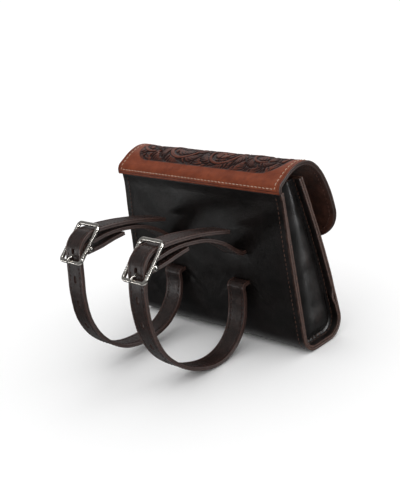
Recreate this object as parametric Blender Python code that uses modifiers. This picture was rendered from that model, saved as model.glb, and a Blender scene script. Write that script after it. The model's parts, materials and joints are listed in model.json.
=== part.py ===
"""A small leather saddle bag for a bicycle, with a tooled flap and two buckled mounting straps.

Units are metres. +Z is up, +X runs across the bag, and the back panel's outer face lies in the
plane Y = 0 and faces +Y, towards the bicycle. The origin is on that face, midway between the two
straps and midway between the upper and the lower strap slots. The flap hangs over the front, -Y.
Left is -X and right is +X.

Every leather piece is a flat sheet bent about lines parallel to X, so each is drawn as an outline
in the YZ plane and extruded across its width.
"""

import math

import bmesh
import bpy
from mathutils import Matrix, Vector

MM = 0.001

# Leather thicknesses and the air between pieces that touch
PANEL_T = 1.8 * MM
SKIVED_T = 1.1 * MM  # the back panel is thinned where the flap is sewn over it
GUSSET_T = 1.6 * MM
FLAP_T = 1.8 * MM
LINING_T = 1.0 * MM
STRAP_T = 2.6 * MM
GAP = 0.3 * MM
LAYER_GAP = 0.25 * MM

# Body: one wrap makes the back, the bottom and the front, and a gusset closes each end
BOTTOM_Z = -59.5 * MM
SEAM_Z = 60.0 * MM  # lower edge of the flap on the back panel
MOUTH_HALF_WIDTH = 80.5 * MM
MOUTH_Z = 65.0 * MM
TAPER = 0.05  # the half width grows by this much for each unit downwards
BACK_RADIUS = 11.5 * MM
FRONT_RADIUS = 15.0 * MM
FRONT_FOOT_Y = -43.6 * MM  # where the front panel would meet the bottom without its radius
FRONT_TOP = (-24.5 * MM, 64.6 * MM)
FRONT_BOW = 2.2 * MM  # how far the front panel bulges from a straight line
HEAD_SHORT = 1.0 * MM  # the back panel's top stops this far short of the flap's fold line
FLANGE_W = 7.0 * MM
GUSSET_TOP = [(-2.8 * MM, 60.4 * MM), (-5.0 * MM, 62.4 * MM), (-9.5 * MM, 64.5 * MM)]

# Flap: the outer face of the tooled leather, from its sewn edge over the top to its free edge
FLAP_ROUTE = [
    (2.6 * MM, SEAM_Z),
    (2.6 * MM, 63.4 * MM),
    (0.9 * MM, 66.6 * MM),
    (-3.6 * MM, 69.4 * MM),
    (-12.5 * MM, 73.9 * MM),
    (-22.6 * MM, 75.8 * MM),
    (-33.2 * MM, 73.3 * MM),
    (-42.9 * MM, 64.3 * MM),
    (-51.6 * MM, 46.9 * MM),
    (-55.4 * MM, 30.7 * MM),
    (-56.8 * MM, 18.0 * MM),
    (-57.0 * MM, 6.5 * MM),
]
FLAP_HALF_WIDTH = 82.0 * MM
FLAP_CORNER = 26.0 * MM
FLAP_SEWN = 12.0 * MM  # length of flap that is fixed to the back panel
FLAP_SPLIT = 0.75 * MM  # opening at the fold line
FLAP_CLOSING = math.radians(10)  # the free flap still turns this far towards the front panel
SNAP_UP = 12.0 * MM  # snap fastener above the flap's free edge

# Snap fastener. The rivet's shank runs past the lining to hold the socket
CAP_R = 6.2 * MM
CAP_H = 2.3 * MM
SHANK_PAST_LINING = 1.4 * MM
SOCKET_R = 5.2 * MM
SOCKET_H = 3.2 * MM
SOCKET_MOUTH_R = 2.4 * MM
STUD_R = 4.4 * MM
STUD_NECK_R = 2.1 * MM
STUD_H = 1.4 * MM
POST_R = 1.6 * MM
POST_H = 1.2 * MM
POST_HEAD_H = 0.8 * MM

# Straps, threaded through two slots in the back panel
STRAP_X = 33.0 * MM
STRAP_W = 16.0 * MM
SLOT_Z = 11.75 * MM
SLOT_W = 18.0 * MM
SLOT_H = 3.8 * MM
STRAP_STEP = 3.2 * MM  # length of the flat facets that a bent strap is made of
HOLE_PITCH = 18.0 * MM
HOLE_COUNT = 4
HOLE_SIZE = (3.0 * MM, 5.5 * MM)
PRONG_HOLE = (3.0 * MM, 9.0 * MM)
PRONG_HOLE_AT = (-9.2 * MM, 0)  # its middle, in the buckle's frame
EYE_ROOM = (1.0 * MM, 3.0 * MM)  # the cut for the prong's eye: depth past the strap, and width
INSIDE_RUN = 4.4 * MM  # between its slots the strap lies this far inside the back panel's face
SLOT_BEND_R = 2.2 * MM
LEAVING_BEND_R = 3.0 * MM

# Buckle, in its own frame: s runs from the lower bar to the upper bar, n points out of the loop
BUCKLE_W = 24.4 * MM
BUCKLE_H = 33.4 * MM
WIRE_R = 1.65 * MM
BAR_S = -2.0 * MM
BAR_N = -2.6 * MM
BAR_R = 1.25 * MM
BAR_LENGTH = 24.8 * MM
BAR_CLEARANCE = 0.15 * MM
LUG_R = 1.95 * MM
LUG_W = 3.0 * MM
BUCKLE_CORNER = 2.4 * MM
PRONG_R = 0.9 * MM
PRONG_TIP = 0.75  # the shank tapers to this share of its radius
BAR_SPACING = BUCKLE_H / 2 - WIRE_R  # from the buckle's middle to either end bar

# The upper part of a strap, in the YZ plane, from the turned-back end to the upper slot. The buckle's
# bar is the pivot that the turned-back end wraps, and places near it are measured from it.
BUCKLE_MIDDLE = (87.2 * MM, 36.8 * MM)
BUCKLE_LEAN = math.radians(44)
TURNED_END = [(-34.0 * MM, 0.4 * MM), (-24.0 * MM, -0.4 * MM), (-12.0 * MM, -2.1 * MM)]
ANCHOR_FROM_BAR = [(-8.0 * MM, 3.6 * MM), (-16.4 * MM, 4.6 * MM), (-26.0 * MM, 4.6 * MM)]
ANCHOR_TO_SLOT = [
    (51.0 * MM, 37.0 * MM),
    (38.0 * MM, 34.2 * MM),
    (28.8 * MM, 30.6 * MM),
    (19.8 * MM, 25.6 * MM),
    (12.0 * MM, 19.4 * MM),
    (7.6 * MM, 15.4 * MM),
    (4.6 * MM, 12.7 * MM),
]
TAIL = [
    (65.3 * MM, 42.9 * MM),
    (51.6 * MM, 41.2 * MM),
    (42.3 * MM, 39.5 * MM),
    (32.5 * MM, 37.4 * MM),
    (20.0 * MM, 34.0 * MM),
    (12.6 * MM, 31.8 * MM),
]
# Over the bar and behind both end bars, in the buckle's frame (s, n)
THROUGH_BUCKLE = [
    (-12.8 * MM, -3.2 * MM),
    (-8.0 * MM, 0.5 * MM),
    (-4.5 * MM, 2.7 * MM),
    (-1.0 * MM, 3.5 * MM),
    (3.0 * MM, 3.2 * MM),
    (7.5 * MM, 1.5 * MM),
    (11.7 * MM, -2.1 * MM),
]
PRONG_ROUTE = [
    (-9.0 * MM, 0.2 * MM),
    (-12.5 * MM, 2.2 * MM),
    (-BAR_SPACING, WIRE_R + PRONG_R + 0.2 * MM),
    (-BAR_SPACING - 1.7 * MM, WIRE_R + PRONG_R),
]
# Each strap: its place across the bag, how far its upper part is turned up about the upper slot,
# and the route of its loop from the lower slot to the buckle
STRAPS = {
    "left": {
        "x": -STRAP_X,
        "raised": 0.0,
        "loop": [
            (6.1 * MM, -22.0 * MM),
            (10.4 * MM, -39.2 * MM),
            (17.9 * MM, -49.4 * MM),
            (28.8 * MM, -56.2 * MM),
            (41.9 * MM, -58.1 * MM),
            (55.0 * MM, -55.4 * MM),
            (69.8 * MM, -48.4 * MM),
            (86.4 * MM, -32.4 * MM),
            (94.2 * MM, -14.7 * MM),
            (96.4 * MM, 2.0 * MM),
            (95.6 * MM, 18.3 * MM),
        ],
    },
    "right": {
        "x": STRAP_X,
        "raised": math.radians(1.6),
        "loop": [
            (6.0 * MM, -20.6 * MM),
            (9.6 * MM, -32.5 * MM),
            (16.0 * MM, -40.6 * MM),
            (27.0 * MM, -48.0 * MM),
            (42.7 * MM, -51.4 * MM),
            (57.0 * MM, -50.8 * MM),
            (71.0 * MM, -46.6 * MM),
            (87.0 * MM, -32.8 * MM),
            (95.2 * MM, -15.6 * MM),
            (96.6 * MM, 2.8 * MM),
            (95.0 * MM, 18.6 * MM),
        ],
    },
}

COLOURS = {
    "body_leather": ((0.020, 0.017, 0.016), 0.36, 0.0),
    "tooled_leather": ((0.230, 0.062, 0.026), 0.32, 0.0),
    "flap_lining": ((0.045, 0.020, 0.014), 0.45, 0.0),
    "strap_leather": ((0.032, 0.019, 0.016), 0.42, 0.0),
    "nickel": ((0.720, 0.710, 0.690), 0.18, 1.0),
    "steel": ((0.560, 0.570, 0.580), 0.28, 1.0),
}


# ---------------------------------------------------------------- scene and materials


def clear_scene():
    for obj in list(bpy.data.objects):
        bpy.data.objects.remove(obj, do_unlink=True)


def new_collection(name):
    collection = bpy.data.collections.new(name)
    bpy.context.scene.collection.children.link(collection)
    return collection


def make_material(name):
    colour, roughness, metallic = COLOURS[name]
    material = bpy.data.materials.new(name)
    material.use_nodes = True
    shader = material.node_tree.nodes["Principled BSDF"]
    shader.inputs["Base Color"].default_value = (*colour, 1.0)
    shader.inputs["Roughness"].default_value = roughness
    shader.inputs["Metallic"].default_value = metallic
    return material


clear_scene()
PARTS = new_collection("saddle_bag")
CUTTERS = new_collection("cutters")
MATERIALS = {name: make_material(name) for name in COLOURS}


# ---------------------------------------------------------------- plane curves


def arc(centre, radius, start, end, steps):
    """Points on a circle in the YZ plane, from one angle to another, in degrees from +Y."""
    angles = [math.radians(start + (end - start) * i / steps) for i in range(steps + 1)]
    return [(centre[0] + radius * math.cos(a), centre[1] + radius * math.sin(a)) for a in angles]


def smooth(points, step):
    """A centripetal Catmull-Rom curve through the points, in steps of about this length."""
    points = [Vector(p) for p in points]
    ends = [2 * points[0] - points[1], *points, 2 * points[-1] - points[-2]]
    curve = []
    for a, b, c, d in zip(ends, ends[1:], ends[2:], ends[3:]):
        before, here, after = (math.sqrt((q - p).length) for p, q in ((a, b), (b, c), (c, d)))
        leave = c - b + here * ((b - a) / before - (c - a) / (before + here))
        arrive = c - b + here * ((d - c) / after - (d - b) / (here + after))
        count = max(1, round((c - b).length / step))
        for t in (i / count for i in range(count)):
            curve.append(
                b * (2 * t**3 - 3 * t**2 + 1) + leave * (t**3 - 2 * t**2 + t)
                + c * (3 * t**2 - 2 * t**3) + arrive * (t**3 - t**2)
            )
    return [tuple(p) for p in [*curve, points[-1]]]


def offset(path, distance):
    """The path moved sideways, to the left of its own direction."""
    path = [Vector(p) for p in path]
    moved = []
    for i, point in enumerate(path):
        before = (point - path[max(i - 1, 0)]).normalized() if i else Vector((0, 0))
        after = (path[i + 1] - point).normalized() if i + 1 < len(path) else Vector((0, 0))
        along = (before + after).normalized()
        lean = max(along.dot(after if i == 0 else before), 0.5)
        moved.append(tuple(point + Vector((-along.y, along.x)) * distance / lean))
    return moved


def length(path):
    return sum(math.dist(a, b) for a, b in zip(path, path[1:]))


def point_at(path, distance):
    """The point this far along the path, and the path's direction there."""
    for a, b in zip(path, path[1:]):
        step = math.dist(a, b)
        if distance <= step:
            along = (Vector(b) - Vector(a)).normalized()
            return Vector(a) + along * distance, along
        distance -= step
    return Vector(path[-1]), (Vector(path[-1]) - Vector(path[-2])).normalized()


def nearest_distance(path, target):
    """How far along the path its point nearest to the target lies."""
    travelled = 0.0
    best = (math.inf, 0.0)
    for a, b in zip(path, path[1:]):
        best = min(best, (math.dist(a, target), travelled))
        travelled += math.dist(a, b)
    return best[1]


def part_of(path, start, end):
    """The stretch of a path between two distances along it."""
    kept = [tuple(point_at(path, start)[0])]
    travelled = 0.0
    for a, b in zip(path, path[1:]):
        travelled += math.dist(a, b)
        if start + 0.2 * MM < travelled < end - 0.2 * MM:
            kept.append(b)
    return [*kept, tuple(point_at(path, end)[0])]


# ---------------------------------------------------------------- solids


def mesh_object(obj, name, collection):
    """The object's evaluated shape as a new mesh object, with the old one removed."""
    bpy.context.view_layer.update()
    graph = bpy.context.evaluated_depsgraph_get()
    mesh = bpy.data.meshes.new_from_object(obj.evaluated_get(graph))
    mesh.transform(obj.matrix_world)
    bpy.data.objects.remove(obj, do_unlink=True)
    work = bmesh.new()
    work.from_mesh(mesh)
    bmesh.ops.remove_doubles(work, verts=work.verts, dist=0.001 * MM)
    bmesh.ops.recalc_face_normals(work, faces=work.faces)
    work.to_mesh(mesh)
    work.free()
    mesh.name = name
    new = bpy.data.objects.new(name, mesh)
    collection.objects.link(new)
    return new


def outline_solid(name, outline, thickness, matrix, collection=PARTS):
    """A closed outline drawn in a plane and given a thickness, centred on that plane."""
    curve = bpy.data.curves.new(name, "CURVE")
    curve.dimensions = "2D"
    curve.fill_mode = "BOTH"
    curve.extrude = thickness / 2
    spline = curve.splines.new("POLY")
    spline.points.add(len(outline) - 1)
    for point, (a, b) in zip(spline.points, outline):
        point.co = (a, b, 0, 1)
    spline.use_cyclic_u = True
    obj = bpy.data.objects.new(name, curve)
    obj.matrix_world = matrix
    collection.objects.link(obj)
    return mesh_object(obj, name, collection)


def across(x):
    """Maps an outline's two coordinates to Y and Z, at this X, with its thickness along X."""
    return Matrix(((0, 0, 1, x), (1, 0, 0, 0), (0, 1, 0, 0), (0, 0, 0, 1)))


def facing(point, across_axis, up_axis):
    """Maps an outline's plane to two given directions at a point."""
    across_axis = Vector(across_axis).normalized()
    up_axis = Vector(up_axis).normalized()
    out = across_axis.cross(up_axis)
    rotation = Matrix((across_axis, up_axis, out)).transposed().to_4x4()
    return Matrix.Translation(Vector(point)) @ rotation


def sheet(name, outline, x, width):
    return outline_solid(name, outline, width, across(x))


def layer(name, path, near, far, x, width, collection=PARTS):
    """A sheet that lies between two offsets of one path, one quad of its end face for each step."""
    sides = [offset(path, near), offset(path, far)]
    work = bmesh.new()
    rows = [[work.verts.new((x - width / 2, *point)) for point in side] for side in sides]
    faces = [
        work.faces.new((a, b, c, d))
        for a, b, c, d in zip(rows[0], rows[0][1:], rows[1][1:], rows[1])
    ]
    grown = bmesh.ops.extrude_face_region(work, geom=faces, use_keep_orig=True)["geom"]
    moved = [item for item in grown if isinstance(item, bmesh.types.BMVert)]
    bmesh.ops.translate(work, verts=moved, vec=(width, 0, 0))
    bmesh.ops.recalc_face_normals(work, faces=work.faces)
    mesh = bpy.data.meshes.new(name)
    work.to_mesh(mesh)
    work.free()
    obj = bpy.data.objects.new(name, mesh)
    collection.objects.link(obj)
    return obj


def rounded_slot(width, height, steps=6):
    """The outline of a slot with round ends, its longer side along the first axis."""
    radius = min(width, height) / 2
    reach = (max(width, height) - 2 * radius) / 2
    right = arc((reach, 0), radius, -90, 90, steps)
    left = arc((-reach, 0), radius, 90, 270, steps)
    outline = right + left
    return outline if width >= height else [(b, a) for a, b in outline][::-1]


def cylinder(name, radius, depth, matrix, collection=PARTS, segments=24):
    mesh = bpy.data.meshes.new(name)
    work = bmesh.new()
    bmesh.ops.create_cone(
        work, cap_ends=True, segments=segments, radius1=radius, radius2=radius, depth=depth,
        matrix=matrix,
    )
    work.to_mesh(mesh)
    work.free()
    obj = bpy.data.objects.new(name, mesh)
    collection.objects.link(obj)
    return obj


def turned(name, profile, matrix, segments=24):
    """A solid of revolution: the profile's points are (radius, height), from top to bottom."""
    curve_mesh = bpy.data.meshes.new(name)
    points = [(r, 0, h) for r, h in profile]
    curve_mesh.from_pydata(points, [(i, i + 1) for i in range(len(points) - 1)], [])
    obj = bpy.data.objects.new(name, curve_mesh)
    PARTS.objects.link(obj)
    screw = obj.modifiers.new("turn", "SCREW")
    screw.steps = segments
    screw.render_steps = segments
    screw.use_merge_vertices = True
    screw.merge_threshold = 0.00001
    obj.matrix_world = matrix
    return mesh_object(obj, name, PARTS)


def wire(name, points, radius, cyclic=False, tip=1.0, collection=PARTS):
    """A round wire through the points; tip is the last point's share of the radius."""
    curve = bpy.data.curves.new(name, "CURVE")
    curve.dimensions = "3D"
    curve.bevel_depth = radius
    curve.bevel_resolution = 2
    curve.use_fill_caps = True
    spline = curve.splines.new("POLY")
    spline.points.add(len(points) - 1)
    for point, place in zip(spline.points, points):
        point.co = (*place, 1)
    spline.points[-1].radius = tip
    spline.use_cyclic_u = cyclic
    obj = bpy.data.objects.new(name, curve)
    collection.objects.link(obj)
    return mesh_object(obj, name, collection)


def combine(obj, other, operation):
    """Cuts the other solid from the object, or joins it to it."""
    modifier = obj.modifiers.new(other.name, "BOOLEAN")
    modifier.operation = operation
    modifier.solver = "EXACT"
    modifier.object = other
    other.hide_render = True
    other.display_type = "WIRE"
    return obj


def paint(obj, material, smooth_angle=35):
    obj.data.materials.clear()
    obj.data.materials.append(MATERIALS[material])
    obj.data.shade_smooth()
    obj.data.set_sharp_from_angle(angle=math.radians(smooth_angle))
    return obj


# ---------------------------------------------------------------- body


def half_width(z):
    return MOUTH_HALF_WIDTH + TAPER * (MOUTH_Z - z)


FLAP_OUTER = smooth(FLAP_ROUTE, 2.2 * MM)
FLAP_LENGTH = length(FLAP_OUTER)
FLAP_INNER_OFFSET = FLAP_T + LAYER_GAP + LINING_T


def front_edge():
    """The front panel's outer line, bottom to top, bowed a little forwards."""
    foot_z = BOTTOM_Z + FRONT_RADIUS
    steps = 8
    points = []
    for i in range(1, steps + 1):
        t = i / steps
        y = FRONT_FOOT_Y + (FRONT_TOP[0] - FRONT_FOOT_Y) * t - FRONT_BOW * 4 * t * (1 - t)
        points.append((y, foot_z + (FRONT_TOP[1] - foot_z) * t))
    return points


def wrap_path():
    """The wrap's outer face below the flap, from the seam down the back, round to the front."""
    back_corner = arc((-BACK_RADIUS, BOTTOM_Z + BACK_RADIUS), BACK_RADIUS, 0, -90, 8)
    front_centre = (FRONT_FOOT_Y + FRONT_RADIUS, BOTTOM_Z + FRONT_RADIUS)
    front_corner = arc(front_centre, FRONT_RADIUS, -90, -180, 9)
    return [(0, SEAM_Z - GAP), *back_corner, *front_corner, *front_edge()]


def wrap_head():
    """The back panel's thinned top, which follows the inside of the sewn part of the flap."""
    sewn = part_of(FLAP_OUTER, 0, FLAP_SEWN - HEAD_SHORT)
    outer = offset(sewn, FLAP_INNER_OFFSET + GAP)
    inner = offset(sewn, FLAP_INNER_OFFSET + GAP + SKIVED_T)
    return outer, inner


def make_body_wrap():
    path = wrap_path()
    outer_head, inner_head = wrap_head()
    step = [(outer_head[0][0], SEAM_Z - GAP)]
    outline = outer_head[::-1] + step + path + offset(path, -PANEL_T)[::-1] + inner_head
    wrap = sheet("body_wrap", outline, 0, 2 * MOUTH_HALF_WIDTH)
    for vertex in wrap.data.vertices:
        vertex.co.x = math.copysign(half_width(vertex.co.z), vertex.co.x)
    for strap in STRAPS.values():
        for z in (SLOT_Z, -SLOT_Z):
            slot = outline_solid(
                "strap_slot", rounded_slot(SLOT_W, SLOT_H), 4 * PANEL_T,
                facing((strap["x"], -PANEL_T / 2, z), (1, 0, 0), (0, 0, 1)), CUTTERS,
            )
            combine(wrap, slot, "DIFFERENCE")
    hole = cylinder("stud_hole", POST_R + GAP, 8 * PANEL_T, stud_matrix(), CUTTERS)
    return combine(wrap, hole, "DIFFERENCE")


def make_gusset(name, side):
    """An end wall whose back, bottom and front edges turn outwards as one flange."""
    rim = offset(wrap_path(), -(PANEL_T + GAP))
    inner_x = MOUTH_HALF_WIDTH - FLANGE_W - GUSSET_T
    face = offset(rim, -GUSSET_T / 2) + GUSSET_TOP[::-1]
    gusset = sheet(name, face, side * (inner_x + GUSSET_T / 2), GUSSET_T)
    flange = layer(
        f"{name}_flange", rim, 0, -GUSSET_T, side * (inner_x + MOUTH_HALF_WIDTH) / 2,
        MOUTH_HALF_WIDTH - inner_x, CUTTERS,
    )
    for obj in (gusset, flange):
        for vertex in obj.data.vertices:
            vertex.co.x += side * TAPER * (MOUTH_Z - vertex.co.z)
    return combine(gusset, flange, "UNION")


# ---------------------------------------------------------------- flap and its snap fastener


def flap_trim(name):
    """A deep prism with the flap's front outline: straight sides and rounded lower corners."""
    low = FLAP_ROUTE[-1][1]
    right = arc((FLAP_HALF_WIDTH - FLAP_CORNER, low + FLAP_CORNER), FLAP_CORNER, -90, 0, 10)
    left = [(-x, z) for x, z in right[::-1]]
    top = low + FLAP_LENGTH
    outline = [*left, *right, (FLAP_HALF_WIDTH, top), (-FLAP_HALF_WIDTH, top)]
    plane = facing((0, 0, 0), (1, 0, 0), (0, 0, 1))
    return outline_solid(name, outline, 2 * FLAP_LENGTH, plane, CUTTERS)


def make_flap_layer(name, start, end, near, far, free):
    path = part_of(FLAP_OUTER, start, end)
    leather = layer(name, path, near, far, 0, 2 * FLAP_HALF_WIDTH)
    if free:
        combine(leather, flap_trim(f"{name}_outline"), "INTERSECT")
        depth = 6 * FLAP_INNER_OFFSET
        hole = cylinder(f"{name}_snap_hole", POST_R + GAP, depth, snap_matrix(0), CUTTERS)
        combine(leather, hole, "DIFFERENCE")
    return leather


def snap_matrix(depth):
    """The snap's place on the flap, with local Z pointing out of the flap's tooled face."""
    point, along = point_at(FLAP_OUTER, FLAP_LENGTH - SNAP_UP)
    out = Vector((0, along.y, -along.x))
    up = Vector((0, -along.x, -along.y))
    place = Vector((0, *point)) - out * depth
    rotation = Matrix((out.cross(up) * -1, up, out)).transposed()
    return Matrix.Translation(place) @ rotation.to_4x4()


def make_snap():
    shank_end = -FLAP_INNER_OFFSET - SHANK_PAST_LINING
    cap = turned("snap_cap", [
        (0, CAP_H), (0.42 * CAP_R, 0.93 * CAP_H), (0.74 * CAP_R, 0.7 * CAP_H),
        (0.94 * CAP_R, 0.4 * CAP_H), (CAP_R, GAP), (POST_R, GAP), (POST_R, shank_end), (0, shank_end),
    ], snap_matrix(0))
    bore = POST_R + BAR_CLEARANCE
    socket = turned("snap_socket", [
        (bore, -GAP), (SOCKET_R, -GAP), (SOCKET_R, -0.38 * SOCKET_H), (0.8 * SOCKET_R, -SOCKET_H),
        (SOCKET_MOUTH_R, -SOCKET_H), (SOCKET_MOUTH_R, -SOCKET_H / 2), (bore, -SOCKET_H / 2),
        (bore, -GAP),
    ], snap_matrix(FLAP_INNER_OFFSET))
    stud = turned("snap_stud", [
        (bore, STUD_H), (STUD_NECK_R, STUD_H), (STUD_NECK_R, 0.65 * STUD_H), (STUD_R, STUD_H / 2),
        (STUD_R, GAP), (bore, GAP), (bore, STUD_H),
    ], stud_matrix())
    back = -PANEL_T - GAP
    post = turned("snap_post", [
        (0, POST_H), (POST_R, POST_H), (POST_R, back), (STUD_R, back), (STUD_R, back - POST_HEAD_H),
        (0, back - POST_HEAD_H),
    ], stud_matrix())
    return cap, socket, stud, post


def stud_matrix():
    """The place on the front panel that the closed flap's socket meets, with local Z outwards."""
    pivot, _ = point_at(FLAP_OUTER, FLAP_SEWN + FLAP_SPLIT / 2)
    socket = snap_matrix(FLAP_INNER_OFFSET).translation
    arm = Vector((socket.y, socket.z)) - pivot
    arm.rotate(Matrix.Rotation(FLAP_CLOSING, 2))
    closed = pivot + arm
    path = wrap_path()
    front = part_of(path, length(path) - 90 * MM, length(path))
    distance = min(
        (abs(point_at(front, step * MM)[0].y - closed.y), step) for step in range(1, 90)
    )[1] * MM
    point, along = point_at(front, distance)
    return facing((0, *point), (1, 0, 0), (0, *along))


def make_flap():
    lining = (FLAP_T + LAYER_GAP, FLAP_INNER_OFFSET)
    start = FLAP_SEWN + FLAP_SPLIT
    make_flap_layer("flap_sewn_edge", 0, FLAP_SEWN, 0, FLAP_T, False)
    make_flap_layer("flap_sewn_edge_lining", 0, FLAP_SEWN, *lining, False)
    make_flap_layer("flap_cover", start, FLAP_LENGTH, 0, FLAP_T, True)
    make_flap_layer("flap_cover_lining", start, FLAP_LENGTH, *lining, True)


# ---------------------------------------------------------------- straps and buckles


class Upper:
    """Places in the upper part of one strap, turned about the upper slot."""

    def __init__(self, raised):
        self.turn = Matrix.Rotation(raised, 2)
        self.lean = BUCKLE_LEAN - raised
        self.pivot = Vector((0, SLOT_Z))
        self.middle = self.place(BUCKLE_MIDDLE)
        self.bar = self.in_buckle((BAR_S, BAR_N))

    def place(self, point):
        return self.pivot + self.turn @ (Vector(point) - self.pivot)

    def in_buckle(self, point):
        s, n = point
        up = Vector((-math.cos(self.lean), math.sin(self.lean)))
        out = Vector((math.sin(self.lean), math.cos(self.lean)))
        return self.middle + up * s + out * n

    def near_bar(self, point):
        return self.bar + self.turn @ Vector(point)

    def matrix(self, x):
        """Buckle frame to world: X across, Y along s, Z along n."""
        up = self.in_buckle((1, 0)) - self.middle
        return facing((x, *self.middle), (-1, 0, 0), (0, *up))


def strap_route(strap):
    upper = Upper(strap["raised"])
    bend = BAR_R + GAP + STRAP_T / 2
    fold = arc(upper.bar, bend, -100, 80, 10)
    bend_y = SLOT_BEND_R - INSIDE_RUN
    upper_turn = arc((bend_y, SLOT_Z - SLOT_BEND_R), SLOT_BEND_R, 90, 180, 5)
    lower_turn = arc((bend_y, SLOT_BEND_R - SLOT_Z), SLOT_BEND_R, 180, 270, 5)
    leaving = arc((LEAVING_BEND_R, -SLOT_Z - LEAVING_BEND_R), LEAVING_BEND_R, 90, 20, 4)
    points = [
        *[upper.near_bar(p) for p in TURNED_END],
        *fold,
        *[upper.near_bar(p) for p in ANCHOR_FROM_BAR],
        *[upper.place(p) for p in ANCHOR_TO_SLOT],
        (2.2 * MM, SLOT_Z), (0.4 * MM, SLOT_Z),
        *upper_turn, *lower_turn,
        (0.4 * MM, -SLOT_Z),
        *leaving,
        *strap["loop"],
        *[upper.in_buckle(p) for p in THROUGH_BUCKLE],
        *[upper.place(p) for p in TAIL],
    ]
    return smooth(points, STRAP_STEP)


def make_strap(name, strap):
    upper = Upper(strap["raised"])
    route = strap_route(strap)
    obj = layer(name, route, STRAP_T / 2, -STRAP_T / 2, strap["x"], STRAP_W)
    prong_hole = nearest_distance(route, upper.in_buckle(PRONG_HOLE_AT))
    holes = [(prong_hole, PRONG_HOLE)]
    holes += [(prong_hole - HOLE_PITCH * i, HOLE_SIZE) for i in range(1, HOLE_COUNT + 1)]
    for distance, (width, height) in holes:
        point, along = point_at(route, distance)
        matrix = facing((strap["x"], *point), (1, 0, 0), (0, *along))
        cutter = outline_solid(f"{name}_hole", rounded_slot(width, height), 4 * STRAP_T, matrix, CUTTERS)
        combine(obj, cutter, "DIFFERENCE")
    extra, width = EYE_ROOM
    about_bar = Matrix.Translation((strap["x"], *upper.bar)) @ Matrix.Rotation(math.pi / 2, 4, "Y")
    eye_room = cylinder(f"{name}_eye_slot", BAR_R + STRAP_T + extra, width, about_bar, CUTTERS)
    return combine(obj, eye_room, "DIFFERENCE")


ON_BAR = Matrix.Translation((0, BAR_S, BAR_N)) @ Matrix.Rotation(math.pi / 2, 4, "Y")


def make_buckle_frame(side):
    """A rectangle of round wire with a lug under each long rail, drilled for the bar."""
    half_w = BUCKLE_W / 2 - WIRE_R - BUCKLE_CORNER
    half_h = BAR_SPACING - BUCKLE_CORNER
    outline = []
    for sx, sy, start in ((1, -1, -90), (1, 1, 0), (-1, 1, 90), (-1, -1, 180)):
        outline += arc((sx * half_w, sy * half_h), BUCKLE_CORNER, start, start + 90, 4)
    frame = wire(f"buckle_frame_{side}", [(x, y, 0) for x, y in outline], WIRE_R, cyclic=True)
    for sign in (1, -1):
        place = Matrix.Translation((sign * (BUCKLE_W - LUG_W) / 2, 0, 0)) @ ON_BAR
        combine(frame, cylinder("lug", LUG_R, LUG_W, place, CUTTERS, 16), "UNION")
    bore = cylinder("bore", BAR_R + BAR_CLEARANCE, 2 * BUCKLE_W, ON_BAR, CUTTERS, 16)
    return combine(frame, bore, "DIFFERENCE")


def make_prong(side):
    """A wire whose end is bent into an eye round the bar, and whose tip rests on the lower rail."""
    eye_r = BAR_R + BAR_CLEARANCE + PRONG_R
    eye = [(0, BAR_S + y, BAR_N + z) for y, z in arc((0, 0), eye_r, 0, 345, 23)]
    prong = wire(f"prong_{side}", eye, PRONG_R, cyclic=True)
    start = Vector((BAR_S, BAR_N)) + eye_r * Vector((-0.93, 0.37))
    points = [(0, s, n) for s, n in smooth([start, *PRONG_ROUTE], 1.3 * MM)]
    shank = wire("shank", points, PRONG_R, tip=PRONG_TIP, collection=CUTTERS)
    return combine(prong, shank, "UNION")


def make_buckle(side, strap):
    """Makes the buckle in its own frame, then takes each piece and its cutters to the strap."""
    frame = make_buckle_frame(side)
    bar = cylinder(f"buckle_bar_{side}", BAR_R, BAR_LENGTH, ON_BAR, PARTS, 16)
    prong = make_prong(side)
    matrix = Upper(strap["raised"]).matrix(strap["x"])
    tools = [modifier.object for obj in (frame, prong) for modifier in obj.modifiers]
    for obj in (frame, bar, prong, *tools):
        obj.data.transform(matrix)
    pivot = matrix @ Vector((0, BAR_S, BAR_N))
    for obj in (frame, prong):
        obj.data.transform(Matrix.Translation(-pivot))
        obj.location = pivot
    return frame, bar, prong


def main():
    paint(make_body_wrap(), "body_leather")
    paint(make_gusset("gusset_left", -1), "body_leather")
    paint(make_gusset("gusset_right", 1), "body_leather")
    make_flap()
    for name in ("flap_sewn_edge", "flap_cover"):
        paint(bpy.data.objects[name], "tooled_leather")
    for name in ("flap_sewn_edge_lining", "flap_cover_lining"):
        paint(bpy.data.objects[name], "flap_lining")
    for obj in make_snap():
        paint(obj, "nickel")
    for side, strap in STRAPS.items():
        paint(make_strap(f"strap_{side}", strap), "strap_leather")
        frame, bar, prong = make_buckle(side, strap)
        for obj in (frame, prong):
            paint(obj, "nickel")
        paint(bar, "steel")


main()
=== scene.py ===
"""The finished look of the leather saddle bag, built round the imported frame.

Lengths are in millimetres in all the shape code and become metres when a mesh is made. The frame is
the part's own: +Z up, X across the bag, and the back panel in the plane Y = 0, facing +Y.
"""

import json
import math

import bmesh
import bpy
import numpy as np
from mathutils import Matrix, Vector

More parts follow.
